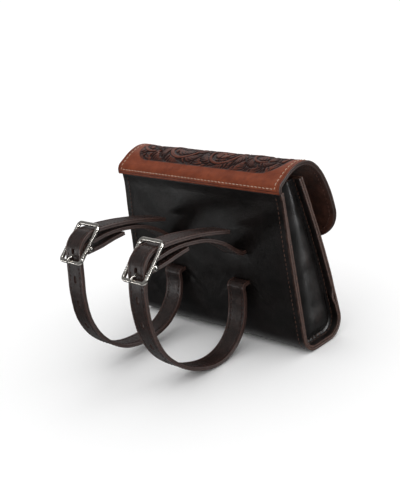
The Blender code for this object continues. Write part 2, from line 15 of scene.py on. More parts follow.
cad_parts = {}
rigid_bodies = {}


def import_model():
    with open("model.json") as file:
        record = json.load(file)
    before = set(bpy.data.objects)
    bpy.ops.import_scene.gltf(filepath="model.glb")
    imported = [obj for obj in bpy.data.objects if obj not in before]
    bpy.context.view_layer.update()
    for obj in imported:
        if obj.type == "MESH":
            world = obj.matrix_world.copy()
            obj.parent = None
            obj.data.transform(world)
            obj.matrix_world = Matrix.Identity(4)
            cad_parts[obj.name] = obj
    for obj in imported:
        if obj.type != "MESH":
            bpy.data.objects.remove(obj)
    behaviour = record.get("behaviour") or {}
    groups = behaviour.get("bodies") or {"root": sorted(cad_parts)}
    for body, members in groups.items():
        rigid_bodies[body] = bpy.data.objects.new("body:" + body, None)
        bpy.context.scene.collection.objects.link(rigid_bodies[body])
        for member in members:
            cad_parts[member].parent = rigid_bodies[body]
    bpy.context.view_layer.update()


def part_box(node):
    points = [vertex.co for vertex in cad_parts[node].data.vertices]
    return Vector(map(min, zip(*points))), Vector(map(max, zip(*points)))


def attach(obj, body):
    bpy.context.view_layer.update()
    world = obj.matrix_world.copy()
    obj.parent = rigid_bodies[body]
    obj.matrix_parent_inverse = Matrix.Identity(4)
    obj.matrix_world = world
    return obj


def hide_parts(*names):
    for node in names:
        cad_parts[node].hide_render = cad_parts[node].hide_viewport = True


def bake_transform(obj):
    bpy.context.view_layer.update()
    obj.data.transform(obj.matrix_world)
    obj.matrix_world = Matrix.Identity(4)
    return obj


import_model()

MM = 0.001

# Leather thicknesses and the air between layers, as in the frame
PANEL_T = 1.8
SKIVED_T = 1.1
GUSSET_T = 1.6
FLAP_T = 1.8
LINING_T = 1.0
STRAP_T = 2.6
GAP = 0.3
LAYER_GAP = 0.25
FLAP_DEPTH = FLAP_T + LAYER_GAP + LINING_T

# Body outline in the YZ plane
BOTTOM_Z = -59.5
SEAM_Z = 60.0
MOUTH_HALF_WIDTH = 80.5
MOUTH_Z = 65.0
TAPER = 0.05
BACK_RADIUS = 11.5
FRONT_RADIUS = 15.0
FRONT_FOOT_Y = -43.6
FRONT_TOP = (-24.5, 64.6)
FRONT_BOW = 2.2
FLANGE_W = 7.0
WRAP_SEAM_INSET = 5.2

# Flap
FLAP_ROUTE = [
    (2.6, SEAM_Z), (2.6, 63.4), (0.9, 66.6), (-3.6, 69.4), (-12.5, 73.9), (-22.6, 75.8),
    (-33.2, 73.3), (-42.9, 64.3), (-51.6, 46.9), (-55.4, 30.7), (-56.8, 18.0), (-57.0, 6.5),
]
FLAP_HALF_WIDTH = 82.0
FLAP_CORNER = 26.0
FLAP_SEWN = 12.0
SEAM_INSET = 3.9
POST_R = 1.6

# Straps and buckles. A strap's route runs from its turned-back end, through both slots, to its tail
STRAP_X = 33.0
STRAP_W = 16.0
STRAP_SEAM_INSET = 2.6
SLOT_Z = 11.75
SLOT_W = 18.0
SLOT_H = 3.8
HOLE_PITCH = 18.0
HOLE_COUNT = 4
HOLE_SIZE = (3.0, 5.5)
PRONG_HOLE = (3.0, 9.0)
BUCKLE_W = 24.4
BUCKLE_H = 33.4
WIRE_R = 1.65
BAR_S = -2.0
BAR_N = -2.6
BAR_R = 1.25
BAR_LENGTH = 24.8
LUG_R = 1.95
LUG_W = 3.0
PRONG_R = 0.9
BAR_SPACING = BUCKLE_H / 2 - WIRE_R
BUCKLE_MIDDLE = (87.2, 36.8)
BUCKLE_LEAN = math.radians(44)
TURNED_END = [(-34.0, 0.4), (-24.0, -0.4), (-12.0, -2.1)]
ANCHOR_FROM_BAR = [(-8.0, 3.6), (-16.4, 4.6), (-26.0, 4.6)]
ANCHOR_TO_SLOT = [
    (51.0, 37.0), (38.0, 34.2), (28.8, 30.6), (19.8, 25.6), (12.0, 19.4), (7.6, 15.4), (4.6, 12.7),
]
TAIL = [
    (65.3, 42.9), (51.6, 41.2), (42.3, 39.5), (32.5, 37.4), (20.0, 34.0), (12.6, 31.8),
]
THROUGH_BUCKLE = [
    (-12.8, -3.2), (-8.0, 0.5), (-4.5, 2.7), (-1.0, 3.5), (3.0, 3.2), (7.5, 1.5), (11.7, -2.1),
]
PRONG_ROUTE = [(-9.0, 0.2), (-12.5, 2.2), (-BAR_SPACING, 2.75), (-BAR_SPACING - 1.7, 2.55)]
STRAPS = {
    "left": {
        "x": -STRAP_X,
        "raised": 0.0,
        "loop": [
            (6.1, -22.0), (10.4, -39.2), (17.9, -49.4), (28.8, -56.2), (41.9, -58.1), (55.0, -55.4),
            (69.8, -48.4), (86.4, -32.4), (94.2, -14.7), (96.4, 2.0), (95.6, 18.3),
        ],
    },
    "right": {
        "x": STRAP_X,
        "raised": math.radians(1.6),
        "loop": [
            (6.0, -20.6), (9.6, -32.5), (16.0, -40.6), (27.0, -48.0), (42.7, -51.4), (57.0, -50.8),
            (71.0, -46.6), (87.0, -32.8), (95.2, -15.6), (96.6, 2.8), (95.0, 18.6),
        ],
    },
}


# ---------------- plane curves, in mm


def arc(centre, radius, start, end, steps):
    angles = np.radians(np.linspace(start, end, steps + 1))
    return np.stack([centre[0] + radius * np.cos(angles), centre[1] + radius * np.sin(angles)], 1)


def smooth(points, step):
    """A centripetal Catmull-Rom curve through the points, in steps of about this length."""
    points = np.asarray(points, float)
    ends = np.vstack([2 * points[0] - points[1], points, 2 * points[-1] - points[-2]])
    curve = []
    for a, b, c, d in zip(ends, ends[1:], ends[2:], ends[3:]):
        before, here, after = (math.sqrt(np.linalg.norm(q - p)) for p, q in ((a, b), (b, c), (c, d)))
        leave = c - b + here * ((b - a) / before - (c - a) / (before + here))
        arrive = c - b + here * ((d - c) / after - (d - b) / (here + after))
        count = max(1, round(float(np.linalg.norm(c - b)) / step))
        for t in np.arange(count) / count:
            curve.append(
                b * (2 * t**3 - 3 * t**2 + 1) + leave * (t**3 - 2 * t**2 + t)
                + c * (3 * t**2 - 2 * t**3) + arrive * (t**3 - t**2)
            )
    return np.vstack([curve, points[-1]])


def walked(path):
    """The distance along the path to each of its points."""
    return np.concatenate([[0], np.cumsum(np.linalg.norm(np.diff(path, axis=0), axis=1))])


def looked_up(distances, travelled, values):
    """The rows of values at these distances, by linear interpolation."""
    return np.stack([np.interp(distances, travelled, column) for column in values.T], -1)


def at(path, distances):
    """Places along a path at these distances from its start."""
    return looked_up(distances, walked(path), path)


def unit(vectors):
    return vectors / np.linalg.norm(vectors, axis=-1, keepdims=True)


def evened(path, step):
    """The same path with its points evenly spaced."""
    total = walked(path)[-1]
    return at(path, np.linspace(0, total, max(2, round(total / step) + 1)))


def left_of(path):
    """The unit direction to the left of the path at each point."""
    along = unit(np.gradient(path, axis=0))
    return np.stack([-along[:, 1], along[:, 0]], 1)


def nearest_distance(path, target):
    return walked(path)[np.argmin(np.linalg.norm(path - np.asarray(target), axis=1))]


def bump(values, width):
    """1 where the values are 0, falling smoothly to 0 over about this width."""
    return np.exp(-((np.asarray(values) / width) ** 2))


def waves(x, s, seed, size, count=7):
    """A soft uneven surface between about -1 and 1, its humps about this size."""
    rng = np.random.default_rng(seed)
    total = np.zeros(np.broadcast(x, s).shape)
    for _ in range(count):
        angle, phase = rng.uniform(0, math.tau, 2)
        stretch = math.tau / (size * rng.uniform(0.7, 1.6))
        total += np.sin((x * math.cos(angle) + s * math.sin(angle)) * stretch + phase)
    return total / math.sqrt(count * 2)


# ---------------- meshes


def added(name, data):
    """A new object in the scene that holds this mesh, light or camera."""
    obj = bpy.data.objects.new(name, data)
    bpy.context.scene.collection.objects.link(obj)
    return obj


def make_object(name, vertices, faces, indices=None):
    mesh = bpy.data.meshes.new(name)
    mesh.from_pydata((np.asarray(vertices, float) * MM).tolist(), [], faces)
    if indices is not None:
        mesh.polygons.foreach_set("material_index", np.asarray(indices, np.int32))
    return added(name, mesh)


def tidy_normals(obj):
    work = bmesh.new()
    work.from_mesh(obj.data)
    bmesh.ops.recalc_face_normals(work, faces=work.faces)
    work.to_mesh(obj.data)
    work.free()


def shade(obj, sharp):
    """Smooth shading, with edges sharper than this many degrees left sharp."""
    obj.data.shade_smooth()
    obj.data.set_sharp_from_angle(angle=math.radians(sharp))


def turned_to(matrix, points):
    """Points in mm taken from a plane's own frame to the bag's."""
    return points @ np.array(matrix.to_3x3()).T + np.array(matrix.translation)


def store(obj, name, values):
    """Keeps a number, or a place, for each vertex, which the materials read."""
    values = np.asarray(values, np.float32)
    kind, key = ("FLOAT_VECTOR", "vector") if values.ndim == 2 else ("FLOAT", "value")
    attribute = obj.data.attributes.new(name, kind, "POINT")
    attribute.data.foreach_set(key, values.reshape(-1))


def grid_faces(rows, columns, first=0):
    i, j = np.meshgrid(np.arange(rows - 1), np.arange(columns - 1), indexing="ij")
    a = (first + i * columns + j).reshape(-1)
    return np.stack([a, a + 1, a + columns + 1, a + columns], 1).tolist()


def border(rows, columns):
    """The indices round the edge of a grid, in order."""
    top = list(range(columns))
    right = [i * columns + columns - 1 for i in range(1, rows)]
    bottom = [(rows - 1) * columns + j for j in range(columns - 2, -1, -1)]
    left = [i * columns for i in range(rows - 2, 0, -1)]
    return np.array(top + right + bottom + left)


RIM = (0.12, 0.35, 0.65, 0.88)


def slab(name, outer, inner, places, extra=(), bulge=0.3):
    """A closed sheet between two grids of points. Slot 0 is its outer face, 1 its cut edge, 2 its back.

    places holds each grid point's (across, along) in mm on the flat leather, and extra holds named
    values for the outer grid's points."""
    rows, columns = outer.shape[:2]
    count = rows * columns
    ring = border(rows, columns)
    outwards = np.zeros((rows, columns, 3))
    outwards[0] += outer[0] - outer[1]
    outwards[-1] += outer[-1] - outer[-2]
    outwards[:, 0] += outer[:, 0] - outer[:, 1]
    outwards[:, -1] += outer[:, -1] - outer[:, -2]
    outwards = outwards.reshape(-1, 3)[ring]
    outwards /= np.maximum(np.linalg.norm(outwards, axis=1, keepdims=True), 1e-9)
    a, b = outer.reshape(-1, 3)[ring], inner.reshape(-1, 3)[ring]
    loops = [a * (1 - t) + b * t + outwards * bulge * math.sin(math.pi * t) ** 0.6 for t in RIM]
    vertices = np.vstack([outer.reshape(-1, 3), inner.reshape(-1, 3), *loops])
    outer_faces = grid_faces(rows, columns)
    inner_faces = [face[::-1] for face in grid_faces(rows, columns, count)]
    between = [(2 * count + k * len(ring)) + np.arange(len(ring)) for k in range(len(RIM))]
    starts = [ring, *between, ring + count]
    rim_faces = []
    for first, second in zip(starts, starts[1:]):
        rim_faces += np.stack([first, second, np.roll(second, -1), np.roll(first, -1)], 1).tolist()
    kinds = [0] * len(outer_faces) + [2] * len(inner_faces) + [1] * len(rim_faces)
    obj = make_object(name, vertices, outer_faces + inner_faces + rim_faces, kinds)
    for _ in range(3):
        obj.data.materials.append(None)
    tidy_normals(obj)

    flat = places.reshape(-1, 2)
    sides = (places[:1], places[-1:], places[:, :1], places[:, -1:])
    edge = np.minimum.reduce([np.linalg.norm(places - side, axis=2) for side in sides]).reshape(-1)

    def spread(values):
        return np.concatenate([values, values, *[values[ring]] * len(RIM)])

    depth = np.concatenate([np.zeros(count), np.ones(count), *[np.full(len(ring), t) for t in RIM]])
    store(obj, "place", np.stack([spread(flat[:, 0]), spread(flat[:, 1]), depth * 3], 1) / 10)
    store(obj, "edge", spread(edge))
    for key, values in dict(extra).items():
        store(obj, key, spread(np.asarray(values, float).reshape(-1)))
    obj.data.shade_smooth()
    return obj


def finalise(obj):
    """Applies the modifiers by keeping the evaluated mesh."""
    bpy.context.view_layer.update()
    graph = bpy.context.evaluated_depsgraph_get()
    mesh = bpy.data.meshes.new_from_object(obj.evaluated_get(graph))
    obj.modifiers.clear()
    obj.data = mesh


def cut(obj, cutters):
    """Cuts holes and gives their walls the cut-edge material."""
    for cutter in cutters:
        walls = np.ones(len(cutter.data.polygons), np.int32)
        cutter.data.polygons.foreach_set("material_index", walls)
        modifier = obj.modifiers.new("cut", "BOOLEAN")
        modifier.operation = "DIFFERENCE"
        modifier.solver = "EXACT"
        modifier.object = cutter
    finalise(obj)
    for cutter in cutters:
        bpy.data.objects.remove(cutter, do_unlink=True)


def prism(name, outline, depth, matrix):
    """A closed prism of this depth, centred on a plane given by a matrix in mm."""
    outline = np.asarray(outline, float)
    count = len(outline)
    ends = [np.column_stack([outline, np.full(count, side * depth / 2)]) for side in (-1, 1)]
    points = turned_to(matrix, np.vstack(ends))
    k = np.arange(count)
    sides = np.stack([k, np.roll(k, -1), np.roll(k, -1) + count, k + count], 1).tolist()
    faces = [list(range(count))[::-1], list(range(count, 2 * count)), *sides]
    obj = make_object(name, points, faces)
    obj.data.materials.append(None)
    obj.data.materials.append(None)
    tidy_normals(obj)
    return obj


def slot_outline(width, height):
    radius = min(width, height) / 2
    reach = (max(width, height) - 2 * radius) / 2
    outline = np.vstack([arc((reach, 0), radius, -90, 90, 8), arc((-reach, 0), radius, 90, 270, 8)])
    return outline if width >= height else outline[:, ::-1]


def facing(point, across, up):
    """A plane's frame in mm: its first axis, its second axis and their normal."""
    across = Vector(across).normalized()
    up = Vector(up).normalized()
    rotation = Matrix((across, up, across.cross(up))).transposed().to_4x4()
    return Matrix.Translation(Vector(point)) @ rotation


def tube_faces(count, sides, first=0, closed=False):
    """Faces over a stack of rings whose ends are capped, unless it closes on itself."""
    faces = []
    for i in range(count if closed else count - 1):
        a = first + i * sides + np.arange(sides)
        b = first + (i + 1) % count * sides + np.arange(sides)
        faces += np.stack([a, np.roll(a, -1), np.roll(b, -1), b], 1).tolist()
    if not closed:
        last = first + (count - 1) * sides
        faces += [list(range(first, first + sides))[::-1], list(range(last, last + sides))]
    return faces


def ring_stack(name, rings, closed=False):
    rings = np.asarray(rings, float)
    obj = make_object(name, rings.reshape(-1, 3), tube_faces(*rings.shape[:2], closed=closed))
    tidy_normals(obj)
    shade(obj, 50)
    return obj


def round_angles(sides):
    return np.arange(sides) * math.tau / sides


def rings_round(centres, first, second, radii, sides):
    """A ring of points round each centre, in the plane of its two directions."""
    angles = round_angles(sides)[None, :, None]
    return centres[:, None] + radii[:, None, None] * (
        np.cos(angles) * first[:, None] + np.sin(angles) * second[:, None]
    )


def sweep(name, centres, radii, sides):
    """A round rod along points in the YZ plane, with a radius at each point."""
    along = unit(np.gradient(centres, axis=0))
    first = np.broadcast_to((1.0, 0.0, 0.0), along.shape)
    radii = np.broadcast_to(radii, (len(centres),))
    return ring_stack(name, rings_round(centres, first, np.cross(along, first), radii, sides))


def lathe(name, profile, matrix, sides=48):
    """A turned piece: profile points are (radius, height) along the matrix's third axis."""
    angles, thinnest = round_angles(sides), 0.02
    rings = []
    for radius, height in profile:
        radius = max(radius, thinnest)
        ring = np.stack([radius * np.cos(angles), radius * np.sin(angles), np.full(sides, height)], 1)
        rings.append(turned_to(matrix, ring))
    return ring_stack(name, rings)


def stitches(name, seams, length, pitch, radius):
    """Short threads along seams. A seam is (points, outward directions), both in mm."""
    rounds, sides = 5, 8
    rng = np.random.default_rng(3)
    vertices, faces, shades = [], [], []
    for points, ups in seams:
        travelled = walked(points)
        count = int((travelled[-1] - 0.4 * pitch) // pitch)
        for k in range(count):
            middle = (k + 0.5) * travelled[-1] / count
            spans = middle + length * np.linspace(-0.5, 0.5, rounds)
            centres = looked_up(spans, travelled, points)
            up = unit(looked_up(spans, travelled, ups))
            side = unit(np.cross(unit(centres[-1] - centres[0]), up))
            swing = rng.uniform(-0.1, 0.1) + 0.09
            rise = np.array([-1.1, 0.25, 0.75, 0.25, -1.1]) * radius
            lean = np.linspace(-0.5, 0.5, rounds) * swing * length
            centres = centres + up * rise[:, None] + side * lean[:, None]
            thick = radius * np.array([0.75, 1.0, 1.05, 1.0, 0.75]) * rng.uniform(0.92, 1.08)
            faces += tube_faces(rounds, sides, len(vertices) * rounds * sides)
            vertices.append(rings_round(centres, side, up, thick, sides).reshape(-1, 3))
            shades.append(np.full(rounds * sides, rng.uniform(0, 1)))
    obj = make_object(name, np.vstack(vertices), faces)
    tidy_normals(obj)
    obj.data.shade_smooth()
    store(obj, "strand", np.concatenate(shades))
    return obj


# ---------------- tooled relief on the flap


class Relief:
    """The flap's carved pattern: heights in mm on a grid of places (across, along) in mm."""

    STEP = 0.4
    GROUND = -0.75
    BLANK = -9.0
    CUT = -0.5

    def __init__(self, half_width, length, low, high, side, corner):
        self.x = np.arange(-half_width, half_width + self.STEP, self.STEP)
        self.s = np.arange(0, length + self.STEP, self.STEP)
        self.X, self.S = np.meshgrid(self.x, self.s)
        across = half_width - side - np.abs(self.X)
        rise = np.minimum(self.S - low, high - self.S)
        rounded = corner - np.hypot(np.maximum(corner - across, 0), np.maximum(corner - rise, 0))
        in_corner = (across < corner) & (rise < corner)
        self.field = np.where(in_corner, rounded, np.minimum(across, rise))
        self.raised = np.full(self.X.shape, self.BLANK)
        self.own = self.raised.copy()

    def lay(self, over=True):
        """Adds the shape drawn last, over the others or tucked under them, with a cut line between."""
        mine, taken = self.own > self.BLANK, self.raised > self.BLANK
        if over:
            around = grown(mine, 1) & ~mine
            self.raised[around & taken] = self.CUT
        else:
            mine &= ~grown(taken, 2)
        self.raised[mine] = self.own[mine]
        self.own[:] = self.BLANK

    def stroke(self, points, width, tip, top=0.0, crown=0.5, groove=0.0):
        """A rounded rib along a polyline; its half width runs from width to tip."""
        points = np.asarray(points, float)
        reach = max(width, tip) + 1
        lo, hi = points.min(0) - reach, points.max(0) + reach
        i = slice(*np.searchsorted(self.s, (lo[1], hi[1])))
        j = slice(*np.searchsorted(self.x, (lo[0], hi[0])))
        X, S = self.X[i, j], self.S[i, j]
        if not X.size:
            return
        nearest, share = np.full(X.shape, 1e9), np.zeros(X.shape)
        count = len(points) - 1
        for k, (a, b) in enumerate(zip(points, points[1:])):
            d = b - a
            t = np.clip(((X - a[0]) * d[0] + (S - a[1]) * d[1]) / max(d @ d, 1e-9), 0, 1)
            away = np.hypot(X - a[0] - t * d[0], S - a[1] - t * d[1])
            closer = away < nearest
            nearest[closer], share[closer] = away[closer], ((k + t) / count)[closer]
        half = np.maximum(width + (tip - width) * share, 0.05)
        inside = np.clip(1 - (nearest / half) ** 2, 0, 1)
        height = top - crown * (1 - np.sqrt(inside)) - groove * bump(nearest, 0.4)
        kept = self.own[i, j]
        self.own[i, j] = np.where(inside > 0, np.maximum(kept, height), kept)

    def leaf(self, x, s, heading, size, curl, lobes=6, over=True):
        """An acanthus leaf: a curling spine with lobes that fan out on both sides."""
        steps = 14
        spine = turning_curve(x, s, heading, size, curl, steps)
        for side in (1, -1):
            for k in range(lobes):
                share = 0.06 + 0.8 * k / lobes
                place = spine[int(share * steps)]
                reach = size * (0.44 - 0.27 * share)
                out = heading + curl * share + side * math.radians(66 - 26 * share)
                points = turning_curve(*place, out, reach, -side * math.radians(60), 7)
                self.stroke(points, 0.095 * size * (1.15 - 0.6 * share), 0.5, -0.08 * k / lobes, 0.85, 0.12)
        self.stroke(spine, 0.07 * size, 0.4, 0.14, 0.6, 0.45)
        self.lay(over)

    def flower(self, x, s, size):
        petals = 5
        for k in range(petals):
            angle = math.tau * k / petals + 0.3
            base = (x + 0.2 * size * math.cos(angle), s + 0.2 * size * math.sin(angle))
            for spread in (-0.36, 0, 0.36):
                tip = (
                    x + 0.78 * size * math.cos(angle + spread),
                    s + 0.78 * size * math.sin(angle + spread),
                )
                self.stroke([base, tip], 0.1 * size, 0.2 * size, 0.05, 0.65, 0.15)
        self.stroke([(x, s), (x, s + 0.01)], 0.26 * size, 0.26 * size, 0.15, 0.5)
        for k in range(8):
            angle = math.tau * k / 8
            dot = (x + 0.17 * size * math.cos(angle), s + 0.17 * size * math.sin(angle))
            self.stroke([dot, (dot[0], dot[1] + 0.01)], 0.07 * size, 0.07 * size, 0.35, 0.3)
        self.lay()

    def scroll(self, x, s, radius, start, sweep, leaves, flower):
        """A vine that winds in to a flower or a curled leaf, with long leaves along its outer side."""
        turn = math.copysign(1, sweep)

        def vine(t):
            r, a = radius * (1 - 0.5 * t), math.radians(start + sweep * t)
            return (x + r * math.cos(a), s + r * math.sin(a)), a

        for k in range(leaves):
            t = (k + 0.4) / leaves
            place, a = vine(t)
            size = radius * (1.25 - 0.55 * t)
            self.leaf(*place, a + turn * (math.pi / 2 - 0.6), size, turn * 1.6, 5)
        stem = [vine(t)[0] for t in np.linspace(0, 1, 40)]
        self.stroke(stem, 0.1 * radius, 0.05 * radius, 0.2, 0.55, 0.35)
        self.lay()
        if flower:
            self.flower(x, s, 0.5 * radius)
        else:
            inner, a = vine(1)
            self.leaf(*inner, a + turn * 1.9, 0.8 * radius, turn * 2.4, 6)

    def fill(self, count, size, least):
        """Leaves in the barest places, largest first, each turned along the flow round the middle."""
        for k in range(count):
            bare = (self.raised <= self.BLANK) & (self.field > 0.8)
            room = blurred(blurred(bare.astype(float), 4), 4)
            i, j = np.unravel_index(np.argmax(room), room.shape)
            if room[i, j] < least:
                return
            x, s = self.x[j], self.s[i]
            heading = math.atan2(s - 52, 0.7 * x) + math.radians(70 if k % 2 else -80) + 0.4 * math.sin(k)
            reach = size * (0.35 + 0.65 * room[i, j])
            back = (x - 0.45 * reach * math.cos(heading), s - 0.45 * reach * math.sin(heading))
            self.leaf(*back, heading, reach, (1.1 if k % 2 else -1.1), 5, False)

    def result(self):
        """The height at each place, and how much dark stain settled there, from 0 to 1."""
        rng = np.random.default_rng(7)
        ground = self.GROUND * np.clip(self.field / 3, 0, 1)
        matted = ground + np.where(self.field > 0.5, rng.uniform(-0.14, 0.06, self.X.shape), 0)
        height = np.where(self.raised > self.BLANK, np.maximum(self.raised, ground), matted)
        height = np.where(self.field < -2.6, 0, height)
        stain = np.clip((blurred(height, 4) - height) * 2.4, 0, 1) * 0.9
        stain += np.clip(-height / 0.55, 0, 1) * 0.6 + 0.22 * np.clip(self.field + 0.6, 0, 1)
        return 0.3 * blurred(height, 1) + 0.7 * height, np.clip(stain, 0, 1)


def turning_curve(x, s, heading, size, curl, steps):
    points = [(x, s)]
    for k in range(steps):
        a = heading + curl * (k + 0.5) / steps
        x, s = x + size / steps * math.cos(a), s + size / steps * math.sin(a)
        points.append((x, s))
    return points


def grown(mask, reach):
    """The mask with this many more cells all round."""
    return blurred(mask.astype(float), reach) > 0.001


def blurred(values, reach):
    """The mean over a square of this many cells each way."""
    total = values
    for axis in (0, 1):
        width = [(reach, reach) if k == axis else (0, 0) for k in (0, 1)]
        padded = np.pad(total, width, mode="edge")
        size = total.shape[axis]
        total = sum(np.take(padded, range(k, k + size), axis) for k in range(2 * reach + 1))
        total = total / (2 * reach + 1)
    return total


# Each scroll is its middle (x, s), radius, starting angle, sweep, leaves and whether it holds a flower
SCROLLS = [
    (-53, 36, 17, 200, -330, 5, False), (-13, 33, 16, 140, 330, 5, True), (25, 37, 18, 30, -330, 6, False),
    (62, 40, 14, 250, 320, 4, False), (-44, 76, 18, 60, 330, 6, True), (-2, 71, 17, 230, -330, 5, False),
    (42, 76, 18, 130, 330, 6, False),
]


def carve_flap(length):
    relief = Relief(FLAP_HALF_WIDTH, length, 14.5, length - 8.5, 8.5, 17)
    for *shape, flower in SCROLLS:
        relief.scroll(*shape, flower)
    relief.fill(90, 21, 0.3)
    return relief


def sampled(relief, values, x, s):
    """The relief's values at these places, by linear interpolation."""
    i = np.clip(s / relief.STEP, 0, len(relief.s) - 1.001)
    j = np.clip((x - relief.x[0]) / relief.STEP, 0, len(relief.x) - 1.001)
    a, b = i.astype(int), j.astype(int)
    u, v = i - a, j - b
    return (values[a, b] * (1 - u) * (1 - v) + values[a + 1, b] * u * (1 - v)
            + values[a, b + 1] * (1 - u) * v + values[a + 1, b + 1] * u * v)


# ---------------- flap


FLAP_PATH = evened(smooth(FLAP_ROUTE, 0.5), 0.5)
FLAP_LENGTH = walked(FLAP_PATH)[-1]


def flap_half_width(s):
    """Half the flap's width this far along it: straight sides, then two round corners."""
    into = np.clip(s - (FLAP_LENGTH - FLAP_CORNER), 0, FLAP_CORNER)
    return FLAP_HALF_WIDTH - FLAP_CORNER + np.sqrt(np.maximum(FLAP_CORNER**2 - into**2, 0))


def flap_rows(step):
    """Distances along the flap for a grid's rows, closer together round its corners."""
    straight = np.arange(0, FLAP_LENGTH - FLAP_CORNER, step)
    turns = np.radians(np.linspace(0, 90, round(1.45 * FLAP_CORNER / step)))
    return np.concatenate([straight, FLAP_LENGTH - FLAP_CORNER + FLAP_CORNER * np.sin(turns)])


def bent(path, sideways, x, depth):
    """Points of a sheet that follows a path in the YZ plane, this far off it sideways."""
    return np.stack([x, *(path[:, k:k + 1] + sideways[:, k:k + 1] * depth for k in (0, 1))], 2)


def flap_layer(name, step, near, far, bulge, inset=0, carve=None):
    s = flap_rows(step)
    half = flap_half_width(s) - inset
    shares = np.linspace(-1, 1, round(2 * FLAP_HALF_WIDTH / step) + 1)
    path = at(FLAP_PATH, s)
    x = np.outer(half, shares)
    S = np.broadcast_to(s[:, None], x.shape)
    soft = 0.35 * waves(x, S, 5, 45) * np.clip((S - FLAP_SEWN) / 20, 0, 1)
    depth, extra = near + soft, {}
    if carve is not None:
        heights, stain = carve.result()
        edge = np.minimum.reduce([half[:, None] - np.abs(x), S, FLAP_LENGTH - S + 0 * x])
        crease = 0.14 * bump(edge - 1.7, 0.35) + 0.2 * bump(edge - 3.9, 0.6)
        depth = depth - sampled(carve, heights, x, S) + crease
        extra["stain"] = np.clip(sampled(carve, stain, x, S) + 0.35 * bump(edge - 1.7, 0.4), 0, 1)
    left = left_of(path)
    outer, inner = bent(path, left, x, depth), bent(path, left, x, far + soft)
    return slab(name, outer, inner, np.stack([x, S], 2), extra, bulge)


def flap_seam(depth):
    """The stitch line round the flap, as points and outward directions."""
    side = FLAP_HALF_WIDTH - SEAM_INSET
    low, high, corner = 3.7, FLAP_LENGTH - SEAM_INSET, FLAP_CORNER - SEAM_INSET
    ends = np.array([(-side, high - corner), (-side, low), (side, low), (side, high - corner)])
    flat = np.vstack([
        *(evened(ends[k:k + 2], 0.8) for k in range(3)),
        arc((side - corner, high - corner), corner, 0, 90, 60),
        arc((-side + corner, high - corner), corner, 90, 180, 60),
    ])
    flat = flat[np.concatenate([[True], np.linalg.norm(np.diff(flat, axis=0), axis=1) > 0.01])]
    place = at(FLAP_PATH, flat[:, 1])
    left = looked_up(flat[:, 1], walked(FLAP_PATH), left_of(FLAP_PATH))
    outside = np.column_stack([flat[:, 0], place + left * depth])
    ups = np.column_stack([np.zeros(len(flat)), -left])
    return outside, ups if depth < 1 else -ups


def bend_at_fold(obj):
    """Bakes the piece's transform into its mesh; the leather is not bent along the fold line."""
    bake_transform(obj)


def make_flap():
    carved = carve_flap(FLAP_LENGTH)
    leather = flap_layer("flap_tooled_leather", 0.55, 0, FLAP_T, 0.25, carve=carved)
    lining = flap_layer("flap_lining_leather", 1.6, FLAP_T + 0.12, FLAP_DEPTH, 0.2, inset=0.3)
    thread = stitches("flap_stitching", [flap_seam(0.12)], 2.7, 3.4, 0.31)
    inner_thread = stitches("flap_lining_stitching", [flap_seam(FLAP_DEPTH - 0.04)], 2.7, 3.4, 0.28)
    for piece, slot, materials, nodes in (
        (leather, "tooled_leather", ("tooled", "dark_edge", "flesh"), ("flap_cover", "flap_sewn_edge")),
        (lining, "flap_lining", ("lining", "dark_edge", "lining"),
         ("flap_cover_lining", "flap_sewn_edge_lining")),
        (thread, "tooled_leather", ("pale_thread",), ()),
        (inner_thread, "flap_lining", ("brown_thread",), ()),
    ):
        dress(piece, *materials)
        bend_at_fold(piece)
        if nodes:
            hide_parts(*nodes)


# ---------------- body


def half_width(z):
    return MOUTH_HALF_WIDTH + TAPER * (MOUTH_Z - z)


def wrap_path():
    """The wrap's outer face below the flap, from the seam down the back, round to the front."""
    foot_z = BOTTOM_Z + FRONT_RADIUS
    t = np.linspace(0, 1, 9)[1:]
    front = np.stack([
        FRONT_FOOT_Y + (FRONT_TOP[0] - FRONT_FOOT_Y) * t - FRONT_BOW * 4 * t * (1 - t),
        foot_z + (FRONT_TOP[1] - foot_z) * t,
    ], 1)
    back_corner = arc((-BACK_RADIUS, BOTTOM_Z + BACK_RADIUS), BACK_RADIUS, 0, -90, 12)
    front_corner = arc((FRONT_FOOT_Y + FRONT_RADIUS, foot_z), FRONT_RADIUS, -90, -180, 14)
    return np.vstack([[(0, SEAM_Z - GAP)], back_corner, front_corner, front])


def panel_relief(x, path, s):
    """How far the soft body leather stands inwards of its plan, in mm, over the wrap."""
    y, z = np.broadcast_to(path[:, :1], x.shape), np.broadcast_to(path[:, 1:], x.shape)
    on_back = np.clip((y + 3) / 3, 0, 1) * np.clip((z + 50) / 8, 0, 1)
    shift = 0.35 * waves(x, s, 11, 70) + 0.12 * waves(x, s, 12, 22)
    shift -= 0.9 * bump(x, 60) * bump(z + 5, 45) * on_back
    for side in (-1, 1):
        # The straps pull a dent round each slot
        for slot_z in (SLOT_Z, -SLOT_Z):
            dx, dz = x - side * STRAP_X, z - slot_z
            reach = np.hypot(np.maximum(np.abs(dx) - SLOT_W / 2 + 2, 0), dz)
            shift += on_back * (0.75 * bump(reach, 8) + 0.35 * bump(reach, 3.2))
        # A crease runs outwards and down from each end of the lower slot
        for end in (-1, 1):
            dx, dz = end * (x - side * STRAP_X) - SLOT_W / 2, -(z + SLOT_Z)
            along, off = 0.75 * dx + 0.66 * dz, 0.66 * dx - 0.75 * dz
            length = np.clip(along / 3, 0, 1) * np.exp(-np.maximum(along, 0) / 12)
            shift += on_back * length * (0.9 * bump(off, 1.8) - 0.45 * bump(off - 3.4, 2.4))
    # The back leans in towards its mouth, and the stitches lie in a shallow groove
    shift += on_back * 1.2 * (np.clip(z - 12, 0, 60) / 46) ** 2
    near_edge = half_width(z) - np.abs(x)
    return shift + 0.25 * bump(near_edge - WRAP_SEAM_INSET, 0.9)


